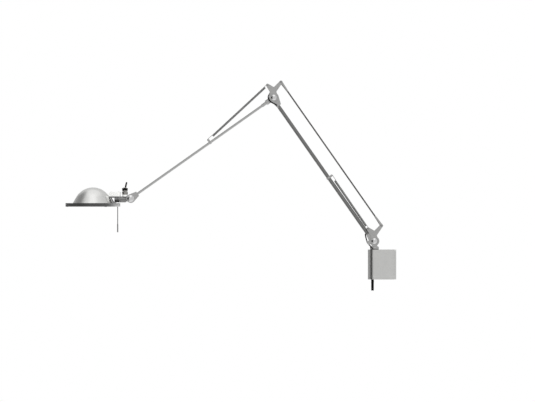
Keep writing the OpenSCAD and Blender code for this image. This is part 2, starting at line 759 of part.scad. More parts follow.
// The spring ear's place along an arm that points in the direction a
function ear_along(a) = spring_ear_r * [cos(spring_ear_angle - a), sin(spring_ear_angle - a)];

// The wire's centre line: the post hook, a straight shank, the coil, and one straight wire diameter
function coil_points(l, turns) = let (n = turns * curl_rings, run = l - ear_hook_l - post_hook_l) concat(
    [for (i = [0 : hook_rings]) let (a = hook_turn * (1 - i / hook_rings))
        coil_r * [-sin(a), 0, cos(a)]],
    [[post_hook_l - wire_d, 0, coil_r]],
    [for (i = [0 : n]) let (a = 360 * i / curl_rings)
        [post_hook_l + run * i / n, coil_r * sin(a), coil_r * cos(a)]],
    [[l - ear_hook_l + wire_d, 0, coil_r]]);
function coil_facings(turns) = let (n = turns * curl_rings) concat(
    [for (i = [0 : hook_rings]) let (a = hook_turn * (1 - i / hook_rings)) [-sin(a), 0, cos(a)]],
    [[0, 0, 1]],
    [for (i = [0 : n]) let (a = 360 * i / curl_rings) [0, sin(a), cos(a)]],
    [[0, 0, 1]]);

// The least gap of a wire to itself, measured between points at least half a curl apart
function least_gap(p) = let (last = len(p) - 1) min([
    for (i = [0 : last], j = [i + curl_rings / 2 : min(i + 3 * curl_rings, last)])
        norm(p[i] - p[j])]) - wire_d;

module spring(post, ear, turns) {
    l = norm(ear - post);
    along(post, atan2(ear[1] - post[1], ear[0] - post[0]))
        tube_along(coil_points(l, turns), coil_facings(turns), wire_d / 2, wire_sides);
}

// The hook on the ear pin, a separate end that meets the coil's straight end face to face
module spring_hook(post, ear) {
    l = norm(ear - post);
    along(post, atan2(ear[1] - post[1], ear[0] - post[0])) {
        translate([0, 0, coil_r]) bar_x(wire_d / 2, l - ear_hook_l + wire_d, l);
        translate([l, 0, 0]) rotate([-90, 0, 0]) rotate([0, 0, -90])
            rotate_extrude(angle = hook_turn) translate([coil_r, 0]) circle(wire_d / 2, $fn = 24);
    }
}

module lower_spring() color("silver") along_lower()
    spring(lower_post, ear_along(lower_arm_angle), lower_spring_turns);
module lower_spring_hook() color("silver") along_lower()
    spring_hook(lower_post, ear_along(lower_arm_angle));
module upper_spring() color("silver") along_upper()
    spring(upper_post, ear_along(upper_arm_angle), upper_spring_turns);
module upper_spring_hook() color("silver") along_upper()
    spring_hook(upper_post, ear_along(upper_arm_angle));

// Tie rod, drawn along +X from its lower pin

module tie_rod() color("gray") along_rod()
    bar_x(tie_rod_d / 2, rod_end_l, arm_span - rod_end_l);

module tie_rod_ends() color("lightgray") along_rod()
    for (s = [0, 1]) translate([s * arm_span, 0, 0]) rotate([0, 180 * s, 0]) difference() {
        union() {
            bar_y([0, 0], rod_eye_d / 2, rod_eye_t);
            intersection() {
                rotate([0, 90, 0]) cylinder(d1 = rod_eye_d, d2 = tie_rod_d + 2 * side_gap, h = rod_end_l);
                plate_y(rod_eye_t) translate([0, -rod_eye_d]) square([rod_end_l, 2 * rod_eye_d]);
            }
        }
        bar_y([0, 0], rod_pin_d / 2 + run_gap, rod_eye_t + 2 * cut);
    }

// Elbow

module elbow_bracket() color("lightgray") at_side(elbow) difference() {
    union() {
        y_cheeks();
        translate(elbow_end) rotate([0, -boss_turn, 0]) bar_x(boss_r, 0, boss_l);
    }
    y_bores(outer_w + 2 * cut);
}
module elbow_pin() color("gray") at_side(elbow) hub_pin();
module elbow_caps() color("gainsboro") at_side(elbow) hub_caps(hub_cap_r, outer_w / 2);
module elbow_spring_pin() color("gray") at_side(elbow) bar_y(spring_ear, spring_pin_d / 2, outer_w);
module elbow_rod_pin() color("gray") at_side(elbow) bar_y(rod_ear, rod_pin_d / 2, outer_w);

// Upper arm, drawn along +X from the elbow

module upper_arm_foot() color("lightgray") along_upper() difference() {
    union() {
        plate_y(tongue_t) link2d([0, 0], upper_eye_d / 2, [barrel_from, 0], barrel_d / 2 - side_gap);
        bar_x(barrel_d / 2, barrel_from, barrel_to);
        bar_x(ferrule_d / 2, barrel_from, ferrule_to);
        bar_x(upper_tube_d / 2 - tube_wall - press_gap, barrel_from, ferrule_to + upper_plug_l);
    }
    bar_y([0, 0], hub_pin_d / 2 + run_gap, tongue_t + 2 * cut);
}

module upper_arm_tube() color("lightgray") along_upper() difference() {
    bar_x(upper_tube_d / 2, ferrule_to, arm_span - upper_tube_inset);
    bar_x(upper_tube_d / 2 - tube_wall, barrel_from, arm_span);
}

module upper_arm_lead() color("black") along_upper() translate([0, 0, upper_lead_drop])
    bar_x(upper_lead_r, ferrule_to + upper_plug_l + cut, arm_span - upper_tube_inset - upper_plug_l - cut);

module upper_spring_post() color("lightgray") along_upper() spring_post(upper_tube_d, 0);

// The wrist fork: a solid end on the tube and two cheeks at the wrist pivot
module wrist_fork() color("lightgray") along_upper() translate([arm_span, 0, 0]) difference() {
    union() {
        plate_y(wrist_w) intersection() {
            link2d([0, 0], wrist_eye_d / 2, [-upper_tube_inset, 0], wrist_fork_end / 2);
            translate([-upper_tube_inset, -wrist_eye_d]) square([2 * upper_tube_inset, 2 * wrist_eye_d]);
        }
        bar_x(upper_tube_d / 2 - tube_wall - press_gap, -upper_tube_inset - upper_plug_l,
              -upper_tube_inset + cut);
    }
    bar_y([0, 0], wrist_pin_d / 2 + press_gap, wrist_w + 2 * cut);
    bar_y([0, 0], wrist_slot_r, wrist_gap);
}

module wrist_pin() color("gray") at_side(wrist) bar_y([0, 0], wrist_pin_d / 2, wrist_w);
module wrist_caps() color("gainsboro") at_side(wrist)
    hub_caps(wrist_cap_r, wrist_w / 2);

// Wrist: the knuckle, the switch housing and the roll spindle

// The knuckle's outline, made larger by grow
module knuckle_outline(grow)
    link2d([0, 0], knuckle_r + grow, [housing_right, -roll_drop / 2], knuckle_end_r + grow);

module switch_housing() color("gray") difference() {
    union() {
        on_roll() bar_x(housing_d / 2, housing_left, housing_right);
        on_roll() bar_x(housing_d / 2 - housing_groove, housing_left, housing_right + side_gap);
        at_side(wrist) plate_y(knuckle_t) knuckle_outline(0);
    }
    at_side(wrist) bar_y([0, 0], wrist_pin_d / 2 + run_gap, knuckle_t + 2 * cut);
    on_roll() bar_x(roll_pin_d / 2 + press_gap, housing_left - cut, housing_left + roll_seat_l);
    on_roll() translate([switch_x + housing_groove / 2, 0, 0]) difference() {
        bar_x(housing_d, 0, housing_groove);
        bar_x(housing_d / 2 - housing_groove, -cut, cut + housing_groove);
    }
}

module roll_spindle() color("gainsboro") on_roll() {
    bar_x(roll_pin_d / 2, clip_x - roll_clip_t, housing_left + roll_seat_l);
    bar_x(roll_clip_r, clip_x - roll_clip_t, clip_x);
}

// The toggle switch stands on the housing; heights are above the wrist pivot
module on_switch() { at_side(wrist + [switch_x, 0]) children(); }

module switch_seat() color("white") difference() {
    on_switch() cylinder(r = seat_r, h = seat_top);
    on_roll() bar_x(housing_d / 2 + press_gap, housing_left - cut, housing_right + seat_r);
    at_side(wrist) plate_y(knuckle_t + 2 * side_gap) knuckle_outline(press_gap);
    at_side(wrist) bar_y([0, 0], wrist_eye_d / 2 + side_gap, 4 * seat_r);
}

module switch_bush() color("silver") on_switch() difference() {
    union() {
        translate([0, 0, seat_top]) cylinder(d = switch_d, h = collar_top - seat_top);
        translate([0, 0, seat_top]) cylinder(r = stem_r, h = stem_top - seat_top);
    }
    translate([0, 0, collar_top]) cylinder(r = toggle_ball_r + run_gap, h = nut_top);
    bar_y([0, toggle_pivot], toggle_pin_r + run_gap, 4 * stem_r);
}

module switch_nut() color("black") on_switch() translate([0, 0, nut_bottom]) difference() {
    intersection() {
        cylinder(d = switch_d, h = nut_top - nut_bottom, $fn = 6);
        cylinder(d1 = switch_d - cap_edge, d2 = switch_d, h = nut_top - nut_bottom);
    }
    translate([0, 0, -cut]) cylinder(r = stem_r + press_gap, h = nut_top - nut_bottom + 2 * cut);
}

module toggle_lever() color("black") on_switch() translate([0, 0, toggle_pivot])
    rotate([0, toggle_lean, 0]) {
        sphere(r = toggle_ball_r, $fn = 32);
        bar_y([0, 0], toggle_pin_r, 2 * (stem_r - side_gap));
        cylinder(r = toggle_root_r, h = toggle_root_l + cut);
        translate([0, 0, toggle_root_l])
            cylinder(d = toggle_d, h = toggle_l - toggle_root_l - toggle_d / 2);
        translate([0, 0, toggle_l - toggle_d / 2]) sphere(d = toggle_d);
    }

// Head

module head_swivel() color("dimgray") on_roll() difference() {
    bar_x(housing_d / 2, swivel_left, head_right);
    bar_x(roll_pin_d / 2 + run_gap, swivel_left - cut, head_right + cut);
    bar_x(roll_clip_r + side_gap, swivel_left - cut, swivel_left + roll_recess);
    translate([swivel_left - cut, -housing_d, bar_z + roll_drop])
        cube([swivel_l + 2 * cut, 2 * housing_d, housing_d]);
    difference() {
        bar_x(housing_d, head_right - swivel_l / 3 - housing_groove, head_right - swivel_l / 3);
        bar_x(housing_d / 2 - housing_groove, swivel_left, head_right);
    }
}

// The carrying bar from the swivel to the dome, with a strut down to a foot on the ring
module head_bar() color("gray") at_side(wrist) difference() {
    plate_y(bar_w) {
        translate([-head_reach, bar_z]) square([head_right + head_reach, bar_t]);
        polygon([[strut_top, bar_z], [strut_top + strut_t, bar_z + cut],
                 [strut_low + strut_t, ring_z + strut_t / 2], [strut_low, ring_z]]);
        translate([strut_low, ring_z]) square([strut_foot, strut_t / 2]);
    }
    translate([-head_reach, 0, ring_z]) dome_solid(-press_gap);
}

module terminal_cover() color("white") at_side(wrist) difference() {
    plate_y(cover_w) {
        difference() {
            translate([cover_right - cover_l, bar_z + bar_t]) square([cover_l, cover_h]);
            translate([cover_right - cover_edge, cover_top - cover_edge]) square(2 * cover_edge);
        }
        translate([cover_right - cover_edge, cover_top - cover_edge]) circle(cover_edge);
    }
    translate([cover_right - cover_l + cover_edge, cover_edge - cover_w / 2, bar_z + bar_t - cut])
        cube([cover_l - 2 * cover_edge, cover_w - 2 * cover_edge, cover_h - cover_edge + cut]);
    translate([head_right, -cover_w, bar_z + bar_t - cut]) cube([cover_l, 2 * cover_w, cut + 2 * side_gap]);
    translate([-head_reach, 0, ring_z]) dome_solid(-side_gap);
}

// The dome's outer form, made smaller by inset: a crown arc and straight flanks that touch it
module dome_profile(inset) {
    r = dome_crown_r - inset;
    c = dome_h - dome_crown_r;
    foot = [dome_d / 2 - inset, 0];
    d = norm(foot - [0, c]);
    a = atan2(-c, foot[0]) + acos(r / d);
    intersection() {
        union() {
            translate([0, c]) circle(r, $fn = 128);
            polygon([[0, 0], foot, [r * cos(a), c + r * sin(a)], [0, c + r * sin(a)]]);
        }
        square([foot[0], dome_h]);
    }
}
module dome_solid(inset) { rotate_extrude($fn = 128) dome_profile(inset); }

module dome() color("silver") at_head() difference() {
    dome_solid(0);
    translate([0, 0, -press_gap]) dome_solid(sheet_t);
}

// The ring: a flat top sheet with a turned-down edge
module shade_ring() color("dimgray") at_head() rotate_extrude($fn = 128) difference() {
    translate([dome_d / 2 - rim_lip, -(ring_h - bezel_h - bezel_groove)])
        square([ring_w + rim_lip, ring_h - bezel_h - bezel_groove]);
    translate([dome_d / 2 - rim_lip - cut, -ring_h])
        square([ring_w + rim_lip + cut - sheet_t, ring_h - sheet_t]);
}

// The bezel that closes the shade below and holds the glass in a step
module glass_bezel() color("dimgray") at_head() difference() {
    rotate_extrude($fn = 128) difference() {
        union() {
            translate([glass_d / 2 - rim_lip, -ring_h])
                square([bezel_w + rim_lip, bezel_h]);
            translate([glass_d / 2 + side_gap, -ring_h])
                square([bezel_w - sheet_t - 2 * side_gap, ring_h - sheet_t - press_gap]);
        }
        translate([glass_d / 2 - rim_lip - cut, sheet_t - ring_h])
            square([rim_lip + cut + side_gap, ring_h]);
        translate([glass_d / 2 + sheet_t + side_gap, sheet_t - ring_h])
            square([bezel_w - 3 * sheet_t - 2 * side_gap, ring_h]);
    }
    translate([handle_at, 0, -ring_h - cut]) cylinder(d = handle_d + 2 * press_gap, h = ring_h);
}

module front_glass() color("lightcyan") at_head() translate([0, 0, sheet_t - ring_h])
    cylinder(d = glass_d, h = glass_t, $fn = 128);

// The reflector: a bowl that rises through the ring, with a flat brim under the ring's sheet
module reflector() color("white") at_head() difference() {
    translate([0, 0, reflector_z]) rotate_extrude($fn = 128) difference() {
        union() {
            bowl_profile(0);
            square([reflector_r + reflector_brim, reflector_t]);
        }
        translate([0, -cut]) square([reflector_r - reflector_t, cut]);
        bowl_profile(reflector_t);
    }
    translate([holder_front - cut, -holder_w / 2 - side_gap, lamp_z - holder_h / 2 - side_gap])
        cube([reflector_r, holder_w + 2 * side_gap, holder_h + 2 * side_gap]);
}

// The bowl's half section, made smaller by inset
module bowl_profile(inset) intersection() {
    translate([0, reflector_h - reflector_ball]) circle(reflector_ball - inset);
    translate([0, -inset]) square([reflector_r - inset, reflector_h + inset]);
}

module lamp_holder() color("ivory") at_head() difference() {
    intersection() {
        translate([holder_front, -holder_w / 2, lamp_z - holder_h / 2]) cube([dome_d, holder_w, holder_h]);
        translate([0, 0, -press_gap]) dome_solid(sheet_t + press_gap);
    }
    for (s = [-1, 1]) translate([holder_front, s * capsule_d / 4, lamp_z])
        bar_x(lamp_pin_r + press_gap, -cut, lamp_pin_l + side_gap);
}

module lamp_capsule() color("lightyellow") at_head() translate([holder_front - side_gap, 0, lamp_z]) {
    bar_x(capsule_d / 2, capsule_d / 2 - capsule_l, 0);
    translate([capsule_d / 2 - capsule_l, 0, 0]) sphere(d = capsule_d);
    for (s = [-1, 1]) translate([0, s * capsule_d / 4, 0]) bar_x(lamp_pin_r, -cut, lamp_pin_l);
}

module handle_rod() color("silver") at_head() translate([handle_at, 0, grip_floor - ring_h - handle_l])
    cylinder(d = handle_d, h = handle_l - grip_floor + bezel_h);

module handle_grip() color("gray") at_head() translate([handle_at, 0, -ring_h - handle_l]) difference() {
    cylinder(d = grip_d, h = grip_l);
    translate([0, 0, grip_floor]) cylinder(d = handle_d + 2 * press_gap, h = grip_l);
}

lower_spring_l = norm(ear_along(lower_arm_angle) - lower_post);
upper_spring_l = norm(ear_along(upper_arm_angle) - upper_post);
echo(lower_spring_least_gap = least_gap(coil_points(lower_spring_l, lower_spring_turns)));
echo(upper_spring_least_gap = least_gap(coil_points(upper_spring_l, upper_spring_turns)));

wall_plate();
wall_bracket();
bottom_cap();
cap_screws();
lock_screw();
upper_bush();
lower_bush();
strain_relief();
supply_lead();
swivel_spindle();
retaining_ring();
shoulder_bracket();
shoulder_pin();
shoulder_caps();
shoulder_spring_pin();
shoulder_rod_pin();
lower_arm_foot();
lower_arm_tube();
lower_arm_head();
lower_arm_lead();
lower_spring_post();
shoulder_lead();
elbow_lead();
lower_spring();
lower_spring_hook();
tie_rod();
tie_rod_ends();
elbow_bracket();
elbow_pin();
elbow_caps();
elbow_spring_pin();
elbow_rod_pin();
upper_arm_foot();
upper_arm_tube();
upper_arm_lead();
upper_spring_post();
wrist_fork();
wrist_pin();
wrist_caps();
upper_spring();
upper_spring_hook();
switch_housing();
roll_spindle();
switch_seat();
switch_bush();
switch_nut();
toggle_lever();
head_swivel();
head_bar();
terminal_cover();
shade_ring();
dome();
reflector();
lamp_holder();
lamp_capsule();
glass_bezel();
front_glass();
handle_rod();
handle_grip();
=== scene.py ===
"""Articulating wall lamp: materials, springs, leads and small fittings over its solid model."""
from __future__ import annotations

import json
import logging
import math
from dataclasses import dataclass, field
from enum import Enum

import bmesh
import bpy
from mathutils import Matrix, Vector


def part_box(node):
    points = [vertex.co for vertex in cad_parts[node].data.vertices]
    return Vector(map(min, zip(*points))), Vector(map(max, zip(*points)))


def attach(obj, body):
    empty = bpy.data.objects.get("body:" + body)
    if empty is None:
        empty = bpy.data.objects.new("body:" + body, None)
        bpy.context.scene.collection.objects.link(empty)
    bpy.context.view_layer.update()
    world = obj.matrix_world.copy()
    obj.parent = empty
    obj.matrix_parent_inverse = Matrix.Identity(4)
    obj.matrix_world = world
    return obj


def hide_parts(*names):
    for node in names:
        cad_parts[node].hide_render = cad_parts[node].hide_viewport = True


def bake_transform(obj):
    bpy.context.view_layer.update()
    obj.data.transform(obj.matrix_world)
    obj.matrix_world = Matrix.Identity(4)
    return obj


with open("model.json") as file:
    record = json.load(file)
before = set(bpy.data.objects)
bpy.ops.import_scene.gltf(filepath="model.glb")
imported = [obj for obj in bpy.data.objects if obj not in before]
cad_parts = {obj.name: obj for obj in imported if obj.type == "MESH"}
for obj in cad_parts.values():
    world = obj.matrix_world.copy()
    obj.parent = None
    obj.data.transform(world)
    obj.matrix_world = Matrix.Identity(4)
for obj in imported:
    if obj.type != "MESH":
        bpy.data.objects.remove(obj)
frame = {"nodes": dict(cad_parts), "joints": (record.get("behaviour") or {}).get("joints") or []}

LOG = logging.getLogger("wall_lamp")
MM = 0.001
BEVEL_SAMPLES = 6
# Most values of a noise pattern lie between these two
NOISE_RANGE = (0.3, 0.7)
LEAST_ROUGHNESS = 0.02

Place = Vector | tuple[float, float, float]
Outline = list[tuple[float, float]]
Edges = list[bmesh.types.BMEdge]
Socket = bpy.types.NodeSocket
Colour = Socket | tuple[float, float, float, float]
Inputs = dict[str | int, object]


class Body(str, Enum):
    """The moving bodies of the lamp, by the names that the frame gives them."""

    BRACKET = "bracket"
    SWIVEL = "swivel"
    LOWER_ARM = "lower_arm"
    LOWER_SPRING = "lower_spring_wire"
    LOWER_SPRING_END = "lower_spring_end"
    TIE_ROD = "tie_rod_link"
    ELBOW = "elbow_link"
    UPPER_ARM = "upper_arm"
    UPPER_SPRING = "upper_spring_wire"
    UPPER_SPRING_END = "upper_spring_end"
    WRIST = "wrist"
    TOGGLE = "toggle"
    HEAD = "head"


class Grain(Enum):
    """How a metal surface was worked, as the stretch of its grain along X, Y and Z."""

    TUMBLED = (1.0, 1.0, 1.0)
    DRAWN_ALONG = (0.04, 1.0, 1.0)
    TURNED = (1.0, 1.0, 0.12)


def linear(code: str, alpha: float = 1.0) -> tuple[float, float, float, float]:
    """Turn an sRGB hex colour into linear light.

    Args:
        code: Six hex digits, such as "b9b9b7".
        alpha: The opacity to put after the three channels.

    Returns:
        Red, green, blue and alpha, in linear light.
    """
    channels = [int(code[i : i + 2], 16) / 255 for i in (0, 2, 4)]
    red, green, blue = (c / 12.92 if c <= 0.04045 else ((c + 0.055) / 1.055) ** 2.4 for c in channels)
    return red, green, blue, alpha


def add_node(
    tree: bpy.types.NodeTree, kind: str, inputs: Inputs | None = None, **settings: object
) -> bpy.types.Node:
    """Add one node with its settings, values and links.

    Args:
        tree: The node tree that takes the node.
        kind: The node's type name.
        inputs: Values or output sockets, by input name or index.
        **settings: Properties of the node itself.

    Returns:
        The new node.
    """
    node = tree.nodes.new(kind)
    for name, value in settings.items():
        setattr(node, name, value)
    for key, value in (inputs or {}).items():
        if isinstance(value, Socket):
            tree.links.new(value, node.inputs[key])
        else:
            node.inputs[key].default_value = value
    return node


def new_tree(name: str) -> tuple[bpy.types.Material, bpy.types.NodeTree]:
    """Make an empty node material.

    Args:
        name: The material's name.

    Returns:
        The material and its cleared node tree.
    """
    material = bpy.data.materials.new(name)
    material.use_nodes = True
    material.node_tree.nodes.clear()
    return material, material.node_tree


def add_noise(
    tree: bpy.types.NodeTree, vector: Socket, size_mm: float, detail: float = 2.0, roughness: float = 0.5
) -> Socket:
    """Add a noise pattern with blotches of a real size.

    Args:
        tree: The node tree that takes the pattern.
        vector: The place that the pattern follows.
        size_mm: The size of one blotch in mm.
        detail: The number of finer layers over it.
        roughness: The strength of the finer layers.

    Returns:
        The pattern's value, around a half.
    """
    inputs = {"Vector": vector, "Scale": 1 / (size_mm * MM), "Detail": detail, "Roughness": roughness}
    return add_node(tree, "ShaderNodeTexNoise", inputs).outputs[0]


def mix_colours(tree: bpy.types.NodeTree, share: Socket, first: Colour, second: Colour) -> Socket:
    """Mix two colours, as values or sockets, by a share of the second."""
    return add_node(tree, "ShaderNodeMix", {0: share, 6: first, 7: second}, data_type="RGBA").outputs[2]


def add_relief(
    tree: bpy.types.NodeTree, height: Socket, bump: float, depth_mm: float, edge_mm: float
) -> Socket:
    """Add a fine relief over softly broken edges.

    Args:
        tree: The node tree that takes the relief.
        height: The pattern that gives the relief.
        bump: The relief's strength, up to 1.
        depth_mm: The relief's depth in mm.
        edge_mm: The radius of the broken edges in mm.

    Returns:
        The surface's normal.
    """
    edge = add_node(tree, "ShaderNodeBevel", {"Radius": edge_mm * MM}, samples=BEVEL_SAMPLES)
    inputs = {"Height": height, "Strength": bump, "Distance": depth_mm * MM, "Normal": edge.outputs[0]}
    return add_node(tree, "ShaderNodeBump", inputs).outputs[0]


def add_surface(tree: bpy.types.NodeTree, inputs: Inputs) -> None:
    """Close a material's tree with its surface and its output."""
    surface = add_node(tree, "ShaderNodeBsdfPrincipled", inputs)
    add_node(tree, "ShaderNodeOutputMaterial", {"Surface": surface.outputs[0]})


@dataclass(frozen=True)
class Metal:
    """A metal surface: its colour, how it was worked and how it has worn."""

    name: str
    colour: str
    roughness: float
    grain: Grain = Grain.TUMBLED
    grain_mm: float = 0.6
    turn_deg: float = 0.0
    relief_mm: float = 0.01
    haze: float = 0.06
    stain: float = 0.05
    stain_mm: float = 50 / 3
    edge_mm: float = 0.35
    bump: float = 0.35

    def build(self) -> bpy.types.Material:
        """Build the metal: mottled colour, uneven polish, fine grain and broken edges.

        Returns:
            The finished material.
        """
        material, tree = new_tree(self.name)
        place = add_node(tree, "ShaderNodeTexCoord")
        along = add_node(
            tree,
            "ShaderNodeMapping",
            {"Vector": place.outputs["Object"], "Rotation": (0, math.radians(self.turn_deg), 0)},
            vector_type="POINT",
        )
        stretched = add_node(
            tree, "ShaderNodeVectorMath", {0: along.outputs[0], 1: self.grain.value}, operation="MULTIPLY"
        )
        fine = add_noise(tree, stretched.outputs[0], self.grain_mm, detail=3.0, roughness=0.6)
        broad = add_noise(tree, place.outputs["Object"], self.stain_mm)
        dark = tuple(c * (1 - 2 * self.stain) for c in linear(self.colour)[:3]) + (1.0,)
        polish = add_node(
            tree,
            "ShaderNodeMapRange",
            {
                "Value": fine,
                "From Min": NOISE_RANGE[0],
                "From Max": NOISE_RANGE[1],
                "To Min": max(self.roughness - self.haze, LEAST_ROUGHNESS),
                "To Max": self.roughness + self.haze,
            },
        )
        add_surface(
            tree,
            {
                "Base Color": mix_colours(tree, broad, dark, linear(self.colour)),
                "Metallic": 1.0,
                "Roughness": polish.outputs[0],
                "Normal": add_relief(tree, fine, self.bump, self.relief_mm, self.edge_mm),
            },
        )
        return material


@dataclass(frozen=True)
class Plastic:
    """A moulded, painted or rubber surface: colour, gloss, the mould's fine texture and a foot of another
    colour below a set height.
    """

    name: str
    colour: str
    roughness: float
    ior: float = 1.5
    specular: float = 0.5
    texture_mm: float = 0.4
    relief_mm: float = 0.02
    shading: float = 0.1
    shading_mm: float = 12.5
    edge_mm: float = 0.4
    bump: float = 0.3
    shine: float = 0.04
    dullness: float = 0.08
    foot_colour: str = ""
    foot_z_mm: float = 0.0

    def build(self) -> bpy.types.Material:
        """Build the surface: a fine spark texture under an almost even colour, with its foot if it has one.

        Returns:
            The finished material.
        """
        material, tree = new_tree(self.name)
        place = add_node(tree, "ShaderNodeTexCoord")
        spark = add_noise(tree, place.outputs["Object"], self.texture_mm)
        broad = add_noise(tree, place.outputs["Object"], self.shading_mm, detail=1.0)
        shade = tuple(c * (1 - self.shading) for c in linear(self.colour)[:3]) + (1.0,)
        colour = mix_colours(tree, broad, shade, linear(self.colour))
        if self.foot_colour:
            height = add_node(tree, "ShaderNodeSeparateXYZ", {0: place.outputs["Object"]})
            foot = add_node(
                tree,
                "ShaderNodeMath",
                {0: height.outputs["Z"], 1: self.foot_z_mm * MM},
                operation="LESS_THAN",
            )
            colour = mix_colours(tree, foot.outputs[0], colour, linear(self.foot_colour))
        sheen = add_node(
            tree,
            "ShaderNodeMapRange",
            {
                "Value": broad,
                "To Min": self.roughness - self.shine,
                "To Max": self.roughness + self.dullness,
            },
        )
        add_surface(
            tree,
            {
                "Base Color": colour,
                "Roughness": sheen.outputs[0],
                "IOR": self.ior,
                "Specular IOR Level": self.specular,
                "Normal": add_relief(tree, spark, self.bump, self.relief_mm, self.edge_mm),
            },
        )
        return material


@dataclass(frozen=True)
class Glass:
    """Clear glass: tint, index and the slight waviness of drawn or pressed glass."""

    name: str
    tint: str
    roughness: float = 0.0
    ior: float = 1.52
    wave_mm: float = 18.0
    wave_depth_mm: float = 0.02
    bump: float = 0.1

    def build(self) -> bpy.types.Material:
        """Build the glass.

        Returns:
            The finished material.
        """
        material, tree = new_tree(self.name)
        place = add_node(tree, "ShaderNodeTexCoord")
        relief = add_node(
            tree,
            "ShaderNodeBump",
            {
                "Height": add_noise(tree, place.outputs["Object"], self.wave_mm),
                "Strength": self.bump,
                "Distance": self.wave_depth_mm * MM,
            },
        )
        add_surface(
            tree,
            {
                "Base Color": linear(self.tint),
                "Roughness": self.roughness,
                "IOR": self.ior,
                "Transmission Weight": 1.0,
                "Normal": relief.outputs[0],
            },
        )
        return material


class Finish(Enum):
    """Every finish of the lamp, named for its real material and how it was made."""

    # Die-cast aluminium, shot-blasted and satin anodised: a soft light grey with no glitter
    CAST = Metal("die_cast_satin_aluminium", "ececea", 0.3, grain_mm=0.5, relief_mm=0.012)
    # The joints' castings, barrel polished: a little darker than the bracket, with softer edges
    JOINT_CAST = Metal("barrel_polished_casting", "cacac9", 0.3, grain_mm=0.4, relief_mm=0.01)
    # Drawn steel tube with a thin nickel plate: grey, with long bright lines; its grey is partly the steel's
    # own and partly painted shade for the darker reflection of its slant
    LOWER_TUBE = Metal(
        "drawn_steel_tube_painted_shade", "929291", 0.26, Grain.DRAWN_ALONG, 0.5, turn_deg=-125.0, haze=0.08
    )
    # Drawn aluminium tube, satin anodised: lighter than the steel tube
    UPPER_TUBE = Metal(
        "drawn_aluminium_tube", "cacac9", 0.28, Grain.DRAWN_ALONG, 0.5, turn_deg=-215.2, haze=0.08
    )
    # Cold-drawn steel rod with a burnished skin: dark, with one thin bright line
    ROD = Metal("cold_drawn_steel_rod", "7a7a79", 0.24, Grain.DRAWN_ALONG, 0.5, turn_deg=-125.0, haze=0.08)
    # Turned stainless steel pins and screws: fine rings from the tool, with a clear highlight
    TURNED_STEEL = Metal("turned_stainless_steel", "a9a9a8", 0.25, Grain.TURNED, 0.3)
    # Nickel-chrome plated caps and collars: mirror-like, with a trace of haze
    CHROME = Metal("bright_chrome_plate", "eeeeee", 0.1, grain_mm=1.2, haze=0.03, stain=0.02, edge_mm=0.3)
    # Brass switch bush and washer, nickel plated: darker and yellower than chrome at its edges
    NICKEL = Metal("nickel_plated_brass", "b2b0ac", 0.2, Grain.TURNED, 0.3, haze=0.04)
    # Hard-drawn spring wire, zinc plated: each turn has its own small pale highlight
    SPRING_WIRE = Metal("zinc_plated_spring_wire", "b4b4b3", 0.27, grain_mm=0.3, edge_mm=0.05)
    # Spun aluminium dome with a satin lacquer: soft broad highlights
    SPUN_DOME = Metal("spun_satin_aluminium", "f2f2f0", 0.26, Grain.TURNED, 0.4, haze=0.04, stain=0.02)
    # Turned aluminium ring under a dark grey powder coat: even, with a sheen only at grazing angles
    DARK_RING = Plastic("grey_powder_coated_ring", "3a3a3a", 0.4, ior=1.65, texture_mm=0.3)
    # Bright-dipped aluminium reflector: near a mirror, with a faint ripple
    REFLECTOR = Metal("bright_dipped_reflector", "eeeeec", 0.12, grain_mm=2.0, relief_mm=0.03)
    # Swivel block and bar in steel with a dark nickel plate: a smoky grey with soft highlights
    DARK_NICKEL = Metal("dark_nickel_plated_steel", "8a8a8a", 0.36, grain_mm=0.4)
    # Lacquered brass nut and lever: deep black with a small sheen
    BLACK_NUT = Plastic("black_lacquered_brass", "050505", 0.34, specular=0.16)
    # Moulded acetal bushes: black with a dull gloss
    BLACK_ACETAL = Plastic("moulded_black_acetal", "060606", 0.4, ior=1.48, specular=0.14)
    # PVC-insulated flex: black and softly shiny
    FLEX = Plastic("black_pvc_flex", "060606", 0.45, ior=1.53, specular=0.1, texture_mm=0.8)
    # White moulded nylon cover: clean white with a soft sheen
    WHITE_COVER = Plastic("white_moulded_nylon", "f6f6f4", 0.36, ior=1.53)
    # The same nylon under the switch, grey below a set height where it sits on the housing
    SWITCH_SEAT = Plastic(
        "white_nylon_grey_foot", "f6f6f4", 0.36, ior=1.53, foot_colour="585858", foot_z_mm=142.8
    )
    # Steatite lamp holder: matt, ivory
    CERAMIC = Plastic("steatite_ceramic", "e6e1d4", 0.55, ior=1.6, texture_mm=0.3)
    # Tempered front glass: clear, with a slight wave in what it reflects
    FRONT_GLASS = Glass("tempered_front_glass", "fbfdfc")
    # Quartz capsule: clear, with the uneven walls of a blown tube
    QUARTZ = Glass("quartz_capsule_glass", "ffffff", wave_mm=6.0)
    # Tungsten filament, unlit: a dull grey thread
    TUNGSTEN = Metal("tungsten_filament", "8e8a84", 0.4, grain_mm=0.2, edge_mm=0.02)

    def material(self) -> bpy.types.Material:
        """Give the finish's material, built on first use."""
        return bpy.data.materials.get(self.value.name) or self.value.build()


def dress(finish: Finish, *nodes: str) -> None:
    """Give solids of the frame a finish.

    Args:
        finish: The finish to give.
        *nodes: The names of the solids.
    """
    for name in nodes:
        solid = frame["nodes"][name]
        solid.data.materials.clear()
        solid.data.materials.append(finish.material())
    LOG.info("dressed %s in %s", ", ".join(nodes), finish.value.name)


def add_object(name: str, data: bpy.types.ID) -> bpy.types.Object:
    """Put a new object with its data into the scene.

    Args:
        name: The object's name.
        data: Its mesh, curve, lamp or camera.

    Returns:
        The new object.
    """
    new = bpy.data.objects.new(name, data)
    bpy.context.scene.collection.objects.link(new)
    return new


